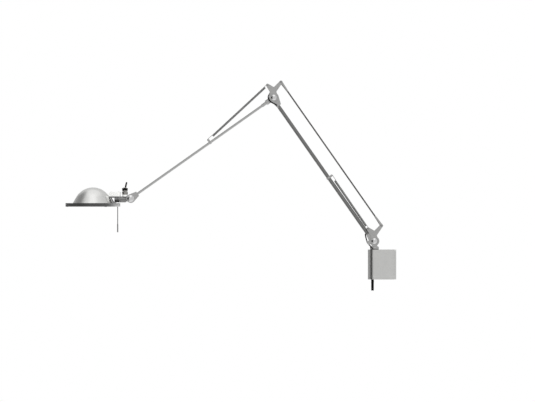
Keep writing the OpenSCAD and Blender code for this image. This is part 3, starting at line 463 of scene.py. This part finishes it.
def finish_piece(
    name: str, bm: bmesh.types.BMesh, finish: Finish, smooth_deg: float = 40.0
) -> bpy.types.Object:
    """Turn a bmesh into a named piece at the origin.

    Args:
        name: The piece's name.
        bm: The shape, in the lamp's own frame. It is freed.
        finish: The piece's finish.
        smooth_deg: Edges flatter than this are shaded smooth.

    Returns:
        The new object.
    """
    bmesh.ops.remove_doubles(bm, verts=bm.verts, dist=1e-7)
    bmesh.ops.recalc_face_normals(bm, faces=bm.faces)
    for face in bm.faces:
        face.smooth = True
    for edge in bm.edges:
        if len(edge.link_faces) == 2:
            edge.smooth = edge.calc_face_angle(0.0) < math.radians(smooth_deg)
    mesh = bpy.data.meshes.new(name)
    bm.to_mesh(mesh)
    bm.free()
    mesh.materials.append(finish.material())
    LOG.info("made %s in %s", name, finish.value.name)
    return add_object(name, mesh)


def fit_piece(name: str, bm: bmesh.types.BMesh, finish: Finish, body: Body) -> None:
    """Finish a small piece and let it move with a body.

    Args:
        name: The piece's name.
        bm: The shape, in the lamp's own frame. It is freed.
        finish: The piece's finish.
        body: The body that carries the piece.
    """
    piece = finish_piece(name, bm, finish)
    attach(piece, body.value)


def turned(bm: bmesh.types.BMesh, outline_mm: Outline, place: Matrix, facets: int = 32) -> None:
    """Turn an outline of radius and height into a solid of revolution.

    Args:
        bm: The mesh to add to.
        outline_mm: Points of radius and height in mm, from the foot to the top.
        place: Where the solid's axis and foot go.
        facets: The number of facets round it.
    """
    old = set(bm.verts)
    verts = [bm.verts.new((radius * MM, 0, height * MM)) for radius, height in outline_mm]
    edges = [bm.edges.new(pair) for pair in zip(verts, verts[1:])]
    bmesh.ops.spin(
        bm, geom=verts + edges, cent=(0, 0, 0), axis=(0, 0, 1), angle=2 * math.pi, steps=facets, use_merge=True
    )
    bmesh.ops.transform(bm, matrix=place, verts=[v for v in bm.verts if v not in old])


def round_section(bm: bmesh.types.BMesh, radius: float, sides: int, place: Matrix) -> Edges:
    """Draw a wire's round section with its end closed, and return its edges."""
    ring = bmesh.ops.create_circle(bm, cap_ends=True, radius=radius, segments=sides, matrix=place)
    return list({edge for vert in ring["verts"] for edge in vert.link_edges})


def sweep_turn(
    bm: bmesh.types.BMesh,
    edges: Edges,
    centre: Place,
    axis: Place,
    angle: float,
    steps: int,
    shift: Place = (0, 0, 0),
) -> Edges:
    """Sweep a section round an axis, with a shift at each step for a helix.

    Args:
        bm: The mesh to sweep in.
        edges: The section's edges.
        centre: A point on the axis.
        axis: The axis to turn about, by the right-hand rule.
        angle: The whole turn, in radians.
        steps: The number of rings to add.
        shift: The move along the helix at each step.

    Returns:
        The edges of the last section.
    """
    verts = list({vert for edge in edges for vert in edge.verts})
    swept = bmesh.ops.spin(
        bm,
        geom=verts + edges,
        cent=centre,
        axis=axis,
        dvec=shift,
        angle=angle,
        steps=steps,
        use_merge=False,
    )
    return [g for g in swept["geom_last"] if isinstance(g, bmesh.types.BMEdge)]


def draw_out(bm: bmesh.types.BMesh, edges: Edges, move: Place) -> Edges:
    """Draw a section out along a straight line.

    Args:
        bm: The mesh to draw in.
        edges: The section's edges.
        move: The line, from the old section to the new one.

    Returns:
        The edges of the new section.
    """
    drawn = bmesh.ops.extrude_edge_only(bm, edges=edges)["geom"]
    new = {g for g in drawn if isinstance(g, bmesh.types.BMVert)}
    bmesh.ops.translate(bm, vec=move, verts=list(new))
    return [g for g in drawn if isinstance(g, bmesh.types.BMEdge) and set(g.verts) <= new]


def facing(place: Vector, direction: Vector) -> Matrix:
    """Set up a frame at a place whose Z axis points in a direction."""
    return Matrix.Translation(place) @ direction.to_track_quat("Z", "Y").to_matrix().to_4x4()


def middle(node: str) -> Vector:
    """Find the centre of a solid's box, in metres."""
    low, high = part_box(node)
    return (low + high) / 2


def joint_place(name: str) -> Vector:
    """Find where a joint turns, in metres."""
    return Vector(next(j for j in frame["joints"] if j["name"] == name)["pos_m"])


def side_frame(origin: Vector, target: Vector) -> Matrix:
    """Set up a frame in the lamp's side plane.

    Args:
        origin: The frame's origin.
        target: The point that its X axis looks at.

    Returns:
        The frame as a matrix: X to the target, Y away from the camera, Z square to both.
    """
    along = (target - origin).normalized()
    across = Vector((0, 1, 0))
    columns = Matrix((along, across, along.cross(across))).transposed()
    return Matrix.Translation(origin) @ columns.to_4x4()


@dataclass
class CoilSpring:
    """A close-wound tension spring with a hook at each end, as one unbroken wire."""

    name: str
    wire_body: Body
    end_body: Body
    swing: str
    ear_pin: str
    solids: tuple[str, ...]
    wire_d: float = 1.0 * MM
    outer_d: float = 5.2 * MM
    pitch: float = 1.22 * MM
    post_hook_l: float = 12.5 * MM
    ear_hook_l: float = 7.0 * MM
    hook_turn_deg: float = 250.0
    hook_steps: int = 18
    bend_in_wires: float = 0.9
    bend_steps: int = 5
    steps_per_turn: int = 12
    sides: int = 8
    smooth_deg: float = 60.0

    def build(self) -> None:
        """Wind the wire from the post's hook to the ear's hook."""
        start, target = joint_place(self.swing), middle(self.ear_pin)
        length = (target - start).length
        radius = (self.outer_d - self.wire_d) / 2
        bend = self.wire_d * self.bend_in_wires
        run = length - self.post_hook_l - self.ear_hook_l
        turns = round(run / self.pitch)
        bm = bmesh.new()
        hook = math.radians(self.hook_turn_deg)
        section = (
            Matrix.Rotation(-hook, 4, "Y")
            @ Matrix.Translation((0, -bend, radius))
            @ Matrix.Rotation(math.pi / 2, 4, "Y")
        )
        end = round_section(bm, self.wire_d / 2, self.sides, section)
        end = sweep_turn(bm, end, (0, 0, 0), (0, 1, 0), hook, self.hook_steps)
        end = draw_out(bm, end, (self.post_hook_l - bend, 0, 0))
        end = sweep_turn(bm, end, (self.post_hook_l - bend, 0, 0), (0, 0, 1), math.pi / 2, self.bend_steps)
        steps = turns * self.steps_per_turn
        end = sweep_turn(bm, end, (0, 0, 0), (-1, 0, 0), 2 * math.pi * turns, steps, (run / steps, 0, 0))
        coil_end = self.post_hook_l + run
        end = sweep_turn(bm, end, (coil_end + bend, 0, 0), (0, 0, -1), math.pi / 2, self.bend_steps)
        end = draw_out(bm, end, (length - coil_end - bend, 0, 0))
        end = sweep_turn(bm, end, (length, 0, 0), (0, 1, 0), hook, self.hook_steps)
        bmesh.ops.contextual_create(bm, geom=end)
        place = side_frame(start, target)
        bmesh.ops.transform(bm, matrix=place, verts=bm.verts)
        piece = finish_piece(self.name, bm, Finish.SPRING_WIRE, self.smooth_deg)
        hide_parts(*self.solids)
        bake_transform(piece)
        LOG.info("%s: %d turns of %.1f mm wire", self.name, turns, self.wire_d / MM)


@dataclass
class Lead:
    """A thin lead that leaves one body and enters another, along the route of its solid."""

    name: str
    solid: str
    pivot: str
    from_body: Body
    to_body: Body
    diameter: float
    route_mm: tuple[tuple[float, float, float], ...]
    round_steps: int = 5
    knot_steps: int = 6

    def build(self) -> None:
        """Draw the lead as a smooth round tube along its route."""
        origin = joint_place(self.pivot)
        curve = bpy.data.curves.new(self.name, "CURVE")
        curve.dimensions = "3D"
        curve.bevel_depth = self.diameter / 2
        curve.bevel_resolution = self.round_steps
        curve.use_fill_caps = True
        curve.resolution_u = self.knot_steps
        spline = curve.splines.new("BEZIER")
        spline.bezier_points.add(len(self.route_mm) - 1)
        for knot, place in zip(spline.bezier_points, self.route_mm):
            knot.co = origin + Vector(place) * MM
            knot.handle_left_type = knot.handle_right_type = "AUTO"
        drawn = add_object(f"{self.name}_curve", curve)
        bpy.context.view_layer.update()
        mesh = bpy.data.meshes.new_from_object(drawn.evaluated_get(bpy.context.evaluated_depsgraph_get()))
        bpy.data.objects.remove(drawn)
        mesh.name = self.name
        mesh.materials.clear()
        mesh.materials.append(Finish.FLEX.material())
        mesh.polygons.foreach_set("use_smooth", [True] * len(mesh.polygons))
        piece = add_object(self.name, mesh)
        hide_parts(self.solid)
        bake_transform(piece)
        LOG.info("made %s in %s", self.name, Finish.FLEX.value.name)


@dataclass
class WallMount:
    """The wall plate, the hollow bracket with its bottom cap, the bushes and the supply lead."""

    sleeve_wall_mm: float = 1.1
    rib_out_mm: float = 0.25
    rib_h_mm: float = 1.2
    rib_edge_mm: float = 0.2
    rib_pitch_mm: float = 2.6
    rib_facets: int = 28
    ribs: int = 3

    def build(self) -> None:
        """Dress the mount's solids and put the ribs on the supply sleeve."""
        dress(Finish.CAST, "wall_plate", "wall_bracket", "bottom_cap")
        dress(Finish.TURNED_STEEL, "cap_screws", "lock_screw", "retaining_ring", "swivel_spindle")
        dress(Finish.BLACK_ACETAL, "upper_bush", "lower_bush")
        dress(Finish.FLEX, "strain_relief", "supply_lead")
        centre = middle("strain_relief")
        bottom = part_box("bottom_cap")[0].z
        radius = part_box("supply_lead")[1].y / MM + self.sleeve_wall_mm
        out, high, edge = radius + self.rib_out_mm, self.rib_h_mm, self.rib_edge_mm
        outline = [(radius, 0), (out, edge), (out, high - edge), (radius, high)]
        bm = bmesh.new()
        for rib in range(self.ribs):
            foot = Vector((centre.x, centre.y, bottom - (1 + rib) * self.rib_pitch_mm * MM))
            turned(bm, outline, Matrix.Translation(foot), self.rib_facets)
        fit_piece("sleeve_ribs", bm, Finish.FLEX, Body.BRACKET)


@dataclass
class JointBracket:
    """One Y bracket with its hub pin, its caps and its two riveted cross pins."""

    place: str
    body: Body
    rivet_heads_mm: tuple[tuple[str, float], ...] = (("spring_pin", 1.9), ("rod_pin", 2.3))
    rivet_h_mm: float = 0.7
    rivet_rim_share: float = 0.25
    rivet_facets: int = 24

    def build(self) -> None:
        """Dress the bracket's solids and close its cross pins with rivet heads."""
        dress(Finish.JOINT_CAST, f"{self.place}_bracket")
        dress(Finish.CHROME, f"{self.place}_caps")
        dress(
            Finish.TURNED_STEEL,
            f"{self.place}_pin",
            f"{self.place}_spring_pin",
            f"{self.place}_rod_pin",
        )
        bm = bmesh.new()
        for pin, radius in self.rivet_heads_mm:
            low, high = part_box(f"{self.place}_{pin}")
            centre = (low + high) / 2
            for y, way in ((low.y, -1), (high.y, 1)):
                end = Vector((centre.x, y, centre.z))
                turned(bm, self._head(radius), facing(end, Vector((0, way, 0))), self.rivet_facets)
        fit_piece(f"{self.place}_rivet_heads", bm, Finish.TURNED_STEEL, self.body)

    def _head(self, radius: float) -> Outline:
        """Draw the outline of a domed rivet head.

        Args:
            radius: The head's radius in mm.

        Returns:
            Points of radius and height in mm, from the head's edge to its crown.
        """
        rim = self.rivet_rim_share
        angles = [math.radians(a) for a in range(0, 91, 15)]
        dome = [(radius * math.cos(a), self.rivet_h_mm * (rim + (1 - rim) * math.sin(a))) for a in angles]
        return [(radius, 0), *dome]


@dataclass
class LowerArm:
    """The lower arm: its end fittings, tube, spring post, spring and the leads at both ends."""

    lead_d: float = 2.6 * MM
    shoulder_route_mm: tuple[tuple[float, float, float], ...] = (
        (-14.9, 0, 18.3), (-16.9, 0, 16.8), (-18.3, 0, 15.4), (-19, 0, 13.4), (-18.8, 0, 11.3),
        (-18.2, 0, 8.6), (-17.4, 0, 5.6), (-16.6, 0, 2.6), (-15.9, 0, -0.4), (-14.8, -0.4, -3.4),
        (-13, -1.4, -6), (-10.8, -2.6, -8.2), (-9, -4.2, -10), (-7.9, -5.1, -11.8),
        (-7.4, -5.4, -13.4), (-7.3, -5.4, -15.2),
    )
    elbow_route_mm: tuple[tuple[float, float, float], ...] = (
        (6.1, -5.6, -17.3), (4.9, -5.6, -15.6), (2.6, -5.6, -14.2), (-0.6, -5.6, -12.7),
        (-4, -5.6, -10.9), (-7.2, -5.6, -8.6), (-9.8, -5.6, -5.8), (-11.5, -5.6, -2.6),
        (-12, -5.6, 0.6), (-11.4, -5.6, 3.6), (-9.9, -5.6, 6.2),
    )
    spring: CoilSpring = field(
        default_factory=lambda: CoilSpring(
            "lower_coil_spring",
            Body.LOWER_SPRING,
            Body.LOWER_SPRING_END,
            "lower_spring_swing",
            "shoulder_spring_pin",
            ("lower_spring", "lower_spring_hook"),
        )
    )

    def build(self) -> None:
        """Dress the arm, wind its spring and lay its leads."""
        dress(Finish.JOINT_CAST, "lower_arm_foot", "lower_arm_head", "lower_spring_post")
        dress(Finish.LOWER_TUBE, "lower_arm_tube")
        dress(Finish.FLEX, "lower_arm_lead")
        self.spring.build()
        for name, solid, pivot, to_body, route_mm in (
            ("shoulder_flex", "shoulder_lead", "shoulder", Body.SWIVEL, self.shoulder_route_mm),
            ("elbow_flex", "elbow_lead", "elbow", Body.ELBOW, self.elbow_route_mm),
        ):
            Lead(name, solid, pivot, Body.LOWER_ARM, to_body, self.lead_d, route_mm).build()


@dataclass
class UpperArm:
    """The upper arm: foot, tube, spring post, wrist fork and spring."""

    spring: CoilSpring = field(
        default_factory=lambda: CoilSpring(
            "upper_coil_spring",
            Body.UPPER_SPRING,
            Body.UPPER_SPRING_END,
            "upper_spring_swing",
            "elbow_spring_pin",
            ("upper_spring", "upper_spring_hook"),
        )
    )

    def build(self) -> None:
        """Dress the arm and wind its spring."""
        dress(Finish.JOINT_CAST, "upper_arm_foot", "upper_spring_post", "wrist_fork")
        dress(Finish.UPPER_TUBE, "upper_arm_tube")
        dress(Finish.FLEX, "upper_arm_lead")
        dress(Finish.CHROME, "wrist_caps")
        dress(Finish.TURNED_STEEL, "wrist_pin")
        self.spring.build()


@dataclass
class TieRod:
    """The rod that keeps the elbow bracket level, with its two tapered ends."""

    rod_finish: Finish = Finish.ROD
    end_finish: Finish = Finish.JOINT_CAST

    def build(self) -> None:
        """Dress the rod's solids."""
        dress(self.rod_finish, "tie_rod")
        dress(self.end_finish, "tie_rod_ends")


@dataclass
class Wrist:
    """The wrist: switch housing, roll spindle and the toggle switch on its threaded bush."""

    thread_pitch_mm: float = 0.75
    thread_out_mm: float = 0.28
    thread_below_nut_mm: float = 2.6
    plain_end_mm: float = 0.2
    thread_steps: int = 24
    stem_r_mm: float = 3.2
    washer_r_mm: float = 5.7
    washer_h_mm: float = 2.3
    washer_edge_mm: float = 0.3
    washer_facets: int = 40

    def build(self) -> None:
        """Dress the wrist's solids, cut the switch bush's thread and put on the lock washer."""
        dress(Finish.LOWER_TUBE, "switch_housing")
        dress(Finish.CHROME, "roll_spindle")
        dress(Finish.NICKEL, "switch_bush")
        dress(Finish.SWITCH_SEAT, "switch_seat")
        dress(Finish.BLACK_NUT, "switch_nut", "toggle_lever")
        nut_low, nut_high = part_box("switch_nut")
        centre = (nut_low + nut_high) / 2
        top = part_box("switch_bush")[1].z - self.plain_end_mm * MM
        bm = bmesh.new()
        for foot, end in ((nut_low.z - self.thread_below_nut_mm * MM, nut_low.z), (nut_high.z, top)):
            self._thread(bm, Vector((centre.x, centre.y, foot)), end - foot)
        fit_piece("bush_thread", bm, Finish.NICKEL, Body.WRIST)
        bm = bmesh.new()
        foot = Vector((centre.x, centre.y, nut_low.z - self.washer_h_mm * MM))
        turned(bm, self._washer(), Matrix.Translation(foot), self.washer_facets)
        fit_piece("lock_washer", bm, Finish.NICKEL, Body.WRIST)

    def _washer(self) -> Outline:
        """Draw the lock washer's section.

        Returns:
            Points of radius and height in mm, once round the section.
        """
        inner, outer = self.stem_r_mm + self.thread_out_mm, self.washer_r_mm
        high, edge = self.washer_h_mm, self.washer_edge_mm
        side = [(outer - edge, 0), (outer, edge), (outer, high - edge), (outer - edge, high)]
        return [(inner, 0), *side, (inner, high), (inner, 0)]

    def _thread(self, bm: bmesh.types.BMesh, foot: Vector, height: float) -> None:
        """Wind one length of thread round the bush's stem.

        Args:
            bm: The mesh to add to.
            foot: Where the thread starts, on the stem's axis.
            height: The thread's length along the stem.
        """
        turns = max(1, int(height / MM / self.thread_pitch_mm) - 1)
        half = self.thread_pitch_mm / 2 * MM
        root = self.stem_r_mm * MM
        places = ((root, 0), (root + self.thread_out_mm * MM, half), (root, 2 * half))
        verts = [bm.verts.new(foot + Vector((x, 0, z))) for x, z in places]
        edges = [bm.edges.new(pair) for pair in zip(verts, verts[1:])]
        steps = self.thread_steps * turns
        rise = (0, 0, turns * self.thread_pitch_mm * MM / steps)
        sweep_turn(bm, edges, foot, (0, 0, 1), 2 * math.pi * turns, steps, rise)


@dataclass
class Head:
    """The head: swivel block, carrying bar, dome, ring, reflector, lamp, glass and handle."""

    filament_r: float = 0.8 * MM
    filament_wire: float = 0.24 * MM
    filament_turns: int = 10
    filament_l: float = 7.0 * MM
    filament_sides: int = 6
    filament_steps: int = 12
    screw_r_mm: float = 1.3
    screw_h_mm: float = 0.6
    screw_facets: int = 20
    lid_screw_insets_mm: tuple[float, float] = (5.0, 4.0)
    bezel_screws_deg: tuple[float, ...] = (60, 180, 300)
    # The thin black band round the terminal cover's end is painted shade, not a real seal
    shade_band_mm: float = 0.5
    shade_band_out_mm: float = 0.12
    shade_band_inset: float = 0.6

    def build(self) -> None:
        """Dress the head's solids, hang the filament, put in the small screws and lay a black band of painted
        shade round the cover's end.
        """
        dress(Finish.DARK_NICKEL, "head_swivel", "head_bar")
        dress(Finish.WHITE_COVER, "terminal_cover")
        dress(Finish.DARK_RING, "shade_ring", "glass_bezel")
        dress(Finish.SPUN_DOME, "dome")
        dress(Finish.REFLECTOR, "reflector")
        dress(Finish.CERAMIC, "lamp_holder")
        dress(Finish.QUARTZ, "lamp_capsule")
        dress(Finish.FRONT_GLASS, "front_glass")
        dress(Finish.ROD, "handle_rod")
        dress(Finish.TURNED_STEEL, "handle_grip")
        self._filament()
        self._screws()
        self._cover_shade_band()

    def _filament(self) -> None:
        """Wind the filament along the capsule's axis."""
        centre = middle("lamp_capsule")
        bm = bmesh.new()
        start = centre - Vector((self.filament_l / 2, 0, 0))
        quarter_turn = Matrix.Rotation(math.pi / 2, 4, "X")
        section = Matrix.Translation(start + Vector((0, 0, self.filament_r))) @ quarter_turn
        edges = round_section(bm, self.filament_wire / 2, self.filament_sides, section)
        steps, whole_turn = self.filament_steps * self.filament_turns, 2 * math.pi * self.filament_turns
        rise = (self.filament_l / steps, 0, 0)
        last = sweep_turn(bm, edges, start, (1, 0, 0), whole_turn, steps, rise)
        bmesh.ops.contextual_create(bm, geom=last)
        fit_piece("filament", bm, Finish.TUNGSTEN, Body.HEAD)

    def _screws(self) -> None:
        """Put two screws in the terminal cover's lid and three in the bezel."""
        bm = bmesh.new()
        low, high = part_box("terminal_cover")
        centre = (low + high) / 2
        from_low, from_high = self.lid_screw_insets_mm
        for x in (low.x + from_low * MM, high.x - from_high * MM):
            place = facing(Vector((x, centre.y, high.z)), Vector((0, 0, 1)))
            turned(bm, self._screw(), place, self.screw_facets)
        low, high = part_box("glass_bezel")
        centre = (low + high) / 2
        reach = (high.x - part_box("front_glass")[1].x) / 2
        for turn in self.bezel_screws_deg:
            out = Vector((math.cos(math.radians(turn)), math.sin(math.radians(turn)), 0))
            foot = Vector((centre.x, centre.y, low.z)) + out * (high.x - centre.x - reach)
            turned(bm, self._screw(), facing(foot, Vector((0, 0, -1))), self.screw_facets)
        fit_piece("cover_screws", bm, Finish.TURNED_STEEL, Body.HEAD)

    def _cover_shade_band(self) -> None:
        """Lay a thin black band round the cover's end, where it meets the swivel side: painted shade along the
        cover's shaded end edge.
        """
        low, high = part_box("terminal_cover")
        out = Vector((0, self.shade_band_out_mm, self.shade_band_out_mm)) * MM
        centre, size = (low + high) / 2, high - low + 2 * out
        centre.x, size.x = high.x - self.shade_band_inset * self.shade_band_mm * MM, self.shade_band_mm * MM
        bm = bmesh.new()
        bmesh.ops.create_cube(bm, size=1, matrix=Matrix.Translation(centre) @ Matrix.Diagonal((*size, 1)))
        fit_piece("cover_shade_band", bm, Finish.FLEX, Body.HEAD)

    def _screw(self) -> Outline:
        """Draw the outline of a small round screw head with a dished middle."""
        r, h = self.screw_r_mm, self.screw_h_mm
        return [(r, 0), (r, 0.5 * h), (0.8 * r, 0.9 * h), (0.5 * r, h), (0.3 * r, 0.6 * h), (0, 0.6 * h)]


@dataclass(frozen=True)
class Card:
    """A soft patch of the studio that metal reflects: where it hangs, how wide it is and its level."""

    azimuth_deg: float
    elevation_deg: float
    inner_deg: float
    outer_deg: float
    level: float

    def direction(self) -> tuple[float, float, float]:
        """Give the card's direction; azimuth 0 is the camera's side and positive is to its left."""
        az, el = math.radians(self.azimuth_deg), math.radians(self.elevation_deg)
        return -math.sin(az) * math.cos(el), -math.cos(az) * math.cos(el), math.sin(el)


@dataclass(frozen=True)
class Softbox:
    """A square soft lamp: where it hangs, its size in metres, its power and what it lights alone."""

    name: str
    place: tuple[float, float, float]
    size: float
    watts: float
    only: tuple[str, ...] = ()

    def hang(self, target: Vector) -> None:
        """Hang the lamp in the studio.

        Args:
            target: The point that the lamp looks at, unless it lights only some solids.
        """
        data = bpy.data.lights.new(self.name, "AREA")
        data.size = self.size
        data.energy = self.watts
        lamp = add_object(self.name, data)
        lamp.location = self.place
        aim = (middle(self.only[0]) if self.only else target) - Vector(self.place)
        lamp.rotation_euler = aim.to_track_quat("-Z", "Y").to_euler()
        lamp.visible_glossy = bool(self.only)
        lamp.visible_camera = False
        if self.only:
            lit = bpy.data.collections.new(f"{self.name}_lights_only")
            for node in self.only:
                lit.objects.link(frame["nodes"][node])
            lamp.light_linking.receiver_collection = lit


@dataclass
class Studio:
    """The camera, the pale floor, the soft lights and the reflected surroundings."""

    view_centre: Vector = field(default_factory=lambda: Vector((-270.0 * MM, 0, 133.3 * MM)))
    view_width: float = 1123.5 * MM
    camera_away: float = 14.0
    floor_z: float = -0.46
    floor_reach: float = 1.6
    floor_glow: float = 0.35
    softboxes: tuple[Softbox, ...] = (
        Softbox("overhead_softbox", (-0.3, -0.2, 2.2), 1.8, 20.0),
        Softbox("front_softbox", (1.2, -2.2, 1.2), 1.6, 30.0),
        Softbox("ring_softbox", (1.15, 0.84, 0.02), 2.4, 72.0, ("shade_ring", "glass_bezel")),
    )
    cards: tuple[Card, ...] = (
        Card(0, 90, 20, 45, 1.1),
        Card(0, 66, 10, 24, 1.25),
        Card(0, 40, 8, 22, 1.3),
        Card(0, -90, 40, 75, 1.0),
        Card(130, -4, 25, 42, 0.45),
        Card(110, 36, 4, 36, 0.3),
        Card(88, 20, 6, 28, 0.12),
        Card(57, -4, 15, 29, 0.0),
        Card(44, -28, 8, 20, 0.35),
        Card(42, 18, 7, 18, 0.15),
    )
    surround: float = 0.78
    fill: float = 0.85

    def build(self) -> None:
        """Set up the camera, the floor, the lights and the world."""
        bpy.context.scene.view_settings.view_transform = "Standard"
        self._camera()
        self._floor()
        for softbox in self.softboxes:
            softbox.hang(self.view_centre)
        self._world()

    def _camera(self) -> None:
        """Look at the lamp square from the side through a long lens."""
        data = bpy.data.cameras.new("camera")
        data.sensor_fit = "HORIZONTAL"
        data.lens = data.sensor_width * self.camera_away / self.view_width
        data.clip_end = 4 * self.camera_away
        camera = add_object("camera", data)
        camera.location = self.view_centre + Vector((0, -self.camera_away, 0))
        camera.rotation_euler = (math.pi / 2, 0, 0)
        bpy.context.scene.camera = camera

    def _floor(self) -> None:
        """Lay a pale floor below the lamp's view, which other views look down on."""
        material, tree = new_tree("pale_floor")
        path = add_node(tree, "ShaderNodeLightPath")
        paper = add_node(tree, "ShaderNodeBsdfDiffuse", {"Color": linear("f2f2f2")})
        glow = add_node(tree, "ShaderNodeEmission", {"Color": linear("ffffff"), "Strength": self.floor_glow})
        both = add_node(tree, "ShaderNodeAddShader", {0: paper.outputs[0], 1: glow.outputs[0]})
        mix = add_node(
            tree,
            "ShaderNodeMixShader",
            {0: path.outputs["Is Camera Ray"], 1: paper.outputs[0], 2: both.outputs[0]},
        )
        add_node(tree, "ShaderNodeOutputMaterial", {"Surface": mix.outputs[0]})
        bm = bmesh.new()
        bmesh.ops.create_grid(bm, x_segments=1, y_segments=1, size=self.floor_reach)
        bmesh.ops.translate(bm, vec=(self.view_centre.x, 0, self.floor_z), verts=bm.verts)
        mesh = bpy.data.meshes.new("floor")
        bm.to_mesh(mesh)
        bm.free()
        mesh.materials.append(material)
        floor = add_object("floor", mesh)
        floor.visible_glossy = False

    def _world(self) -> None:
        """Show white to the camera, and to metal a pale room with soft light and dark cards."""
        world = bpy.data.worlds.new("studio")
        world.use_nodes = True
        tree = world.node_tree
        tree.nodes.clear()
        path = add_node(tree, "ShaderNodeLightPath")
        place = add_node(tree, "ShaderNodeTexCoord")
        level = None
        for card in self.cards:
            nearness = add_node(
                tree,
                "ShaderNodeVectorMath",
                {0: place.outputs["Generated"], 1: card.direction()},
                operation="DOT_PRODUCT",
            )
            share = add_node(
                tree,
                "ShaderNodeMapRange",
                {
                    "Value": nearness.outputs["Value"],
                    "From Min": math.cos(math.radians(card.outer_deg)),
                    "From Max": math.cos(math.radians(card.inner_deg)),
                },
                interpolation_type="SMOOTHSTEP",
            )
            level = add_node(
                tree,
                "ShaderNodeMix",
                {0: share.outputs[0], 2: level.outputs[0] if level else self.surround, 3: card.level},
                data_type="FLOAT",
            )
        room = add_node(tree, "ShaderNodeBackground", {"Strength": level.outputs[0]})
        fill = add_node(tree, "ShaderNodeBackground", {"Color": linear("ffffff"), "Strength": self.fill})
        white = add_node(tree, "ShaderNodeBackground", {"Color": linear("ffffff"), "Strength": 1.0})
        indirect = add_node(
            tree,
            "ShaderNodeMixShader",
            {0: path.outputs["Is Glossy Ray"], 1: fill.outputs[0], 2: room.outputs[0]},
        )
        seen = add_node(
            tree,
            "ShaderNodeMath",
            {0: path.outputs["Is Camera Ray"], 1: path.outputs["Is Transmission Ray"]},
            operation="MAXIMUM",
        )
        mix = add_node(
            tree, "ShaderNodeMixShader", {0: seen.outputs[0], 1: indirect.outputs[0], 2: white.outputs[0]}
        )
        add_node(tree, "ShaderNodeOutputWorld", {"Surface": mix.outputs[0]})
        bpy.context.scene.world = world


def main() -> None:
    """Build the studio and every sub-assembly."""
    logging.basicConfig(level=logging.INFO, format="%(name)s: %(message)s")
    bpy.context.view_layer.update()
    Studio().build()
    for assembly in (
        WallMount(),
        JointBracket("shoulder", Body.SWIVEL),
        LowerArm(),
        TieRod(),
        JointBracket("elbow", Body.ELBOW),
        UpperArm(),
        Wrist(),
        Head(),
    ):
        assembly.build()
        LOG.info("built %s", type(assembly).__name__)


if __name__ == "__main__":
    main()
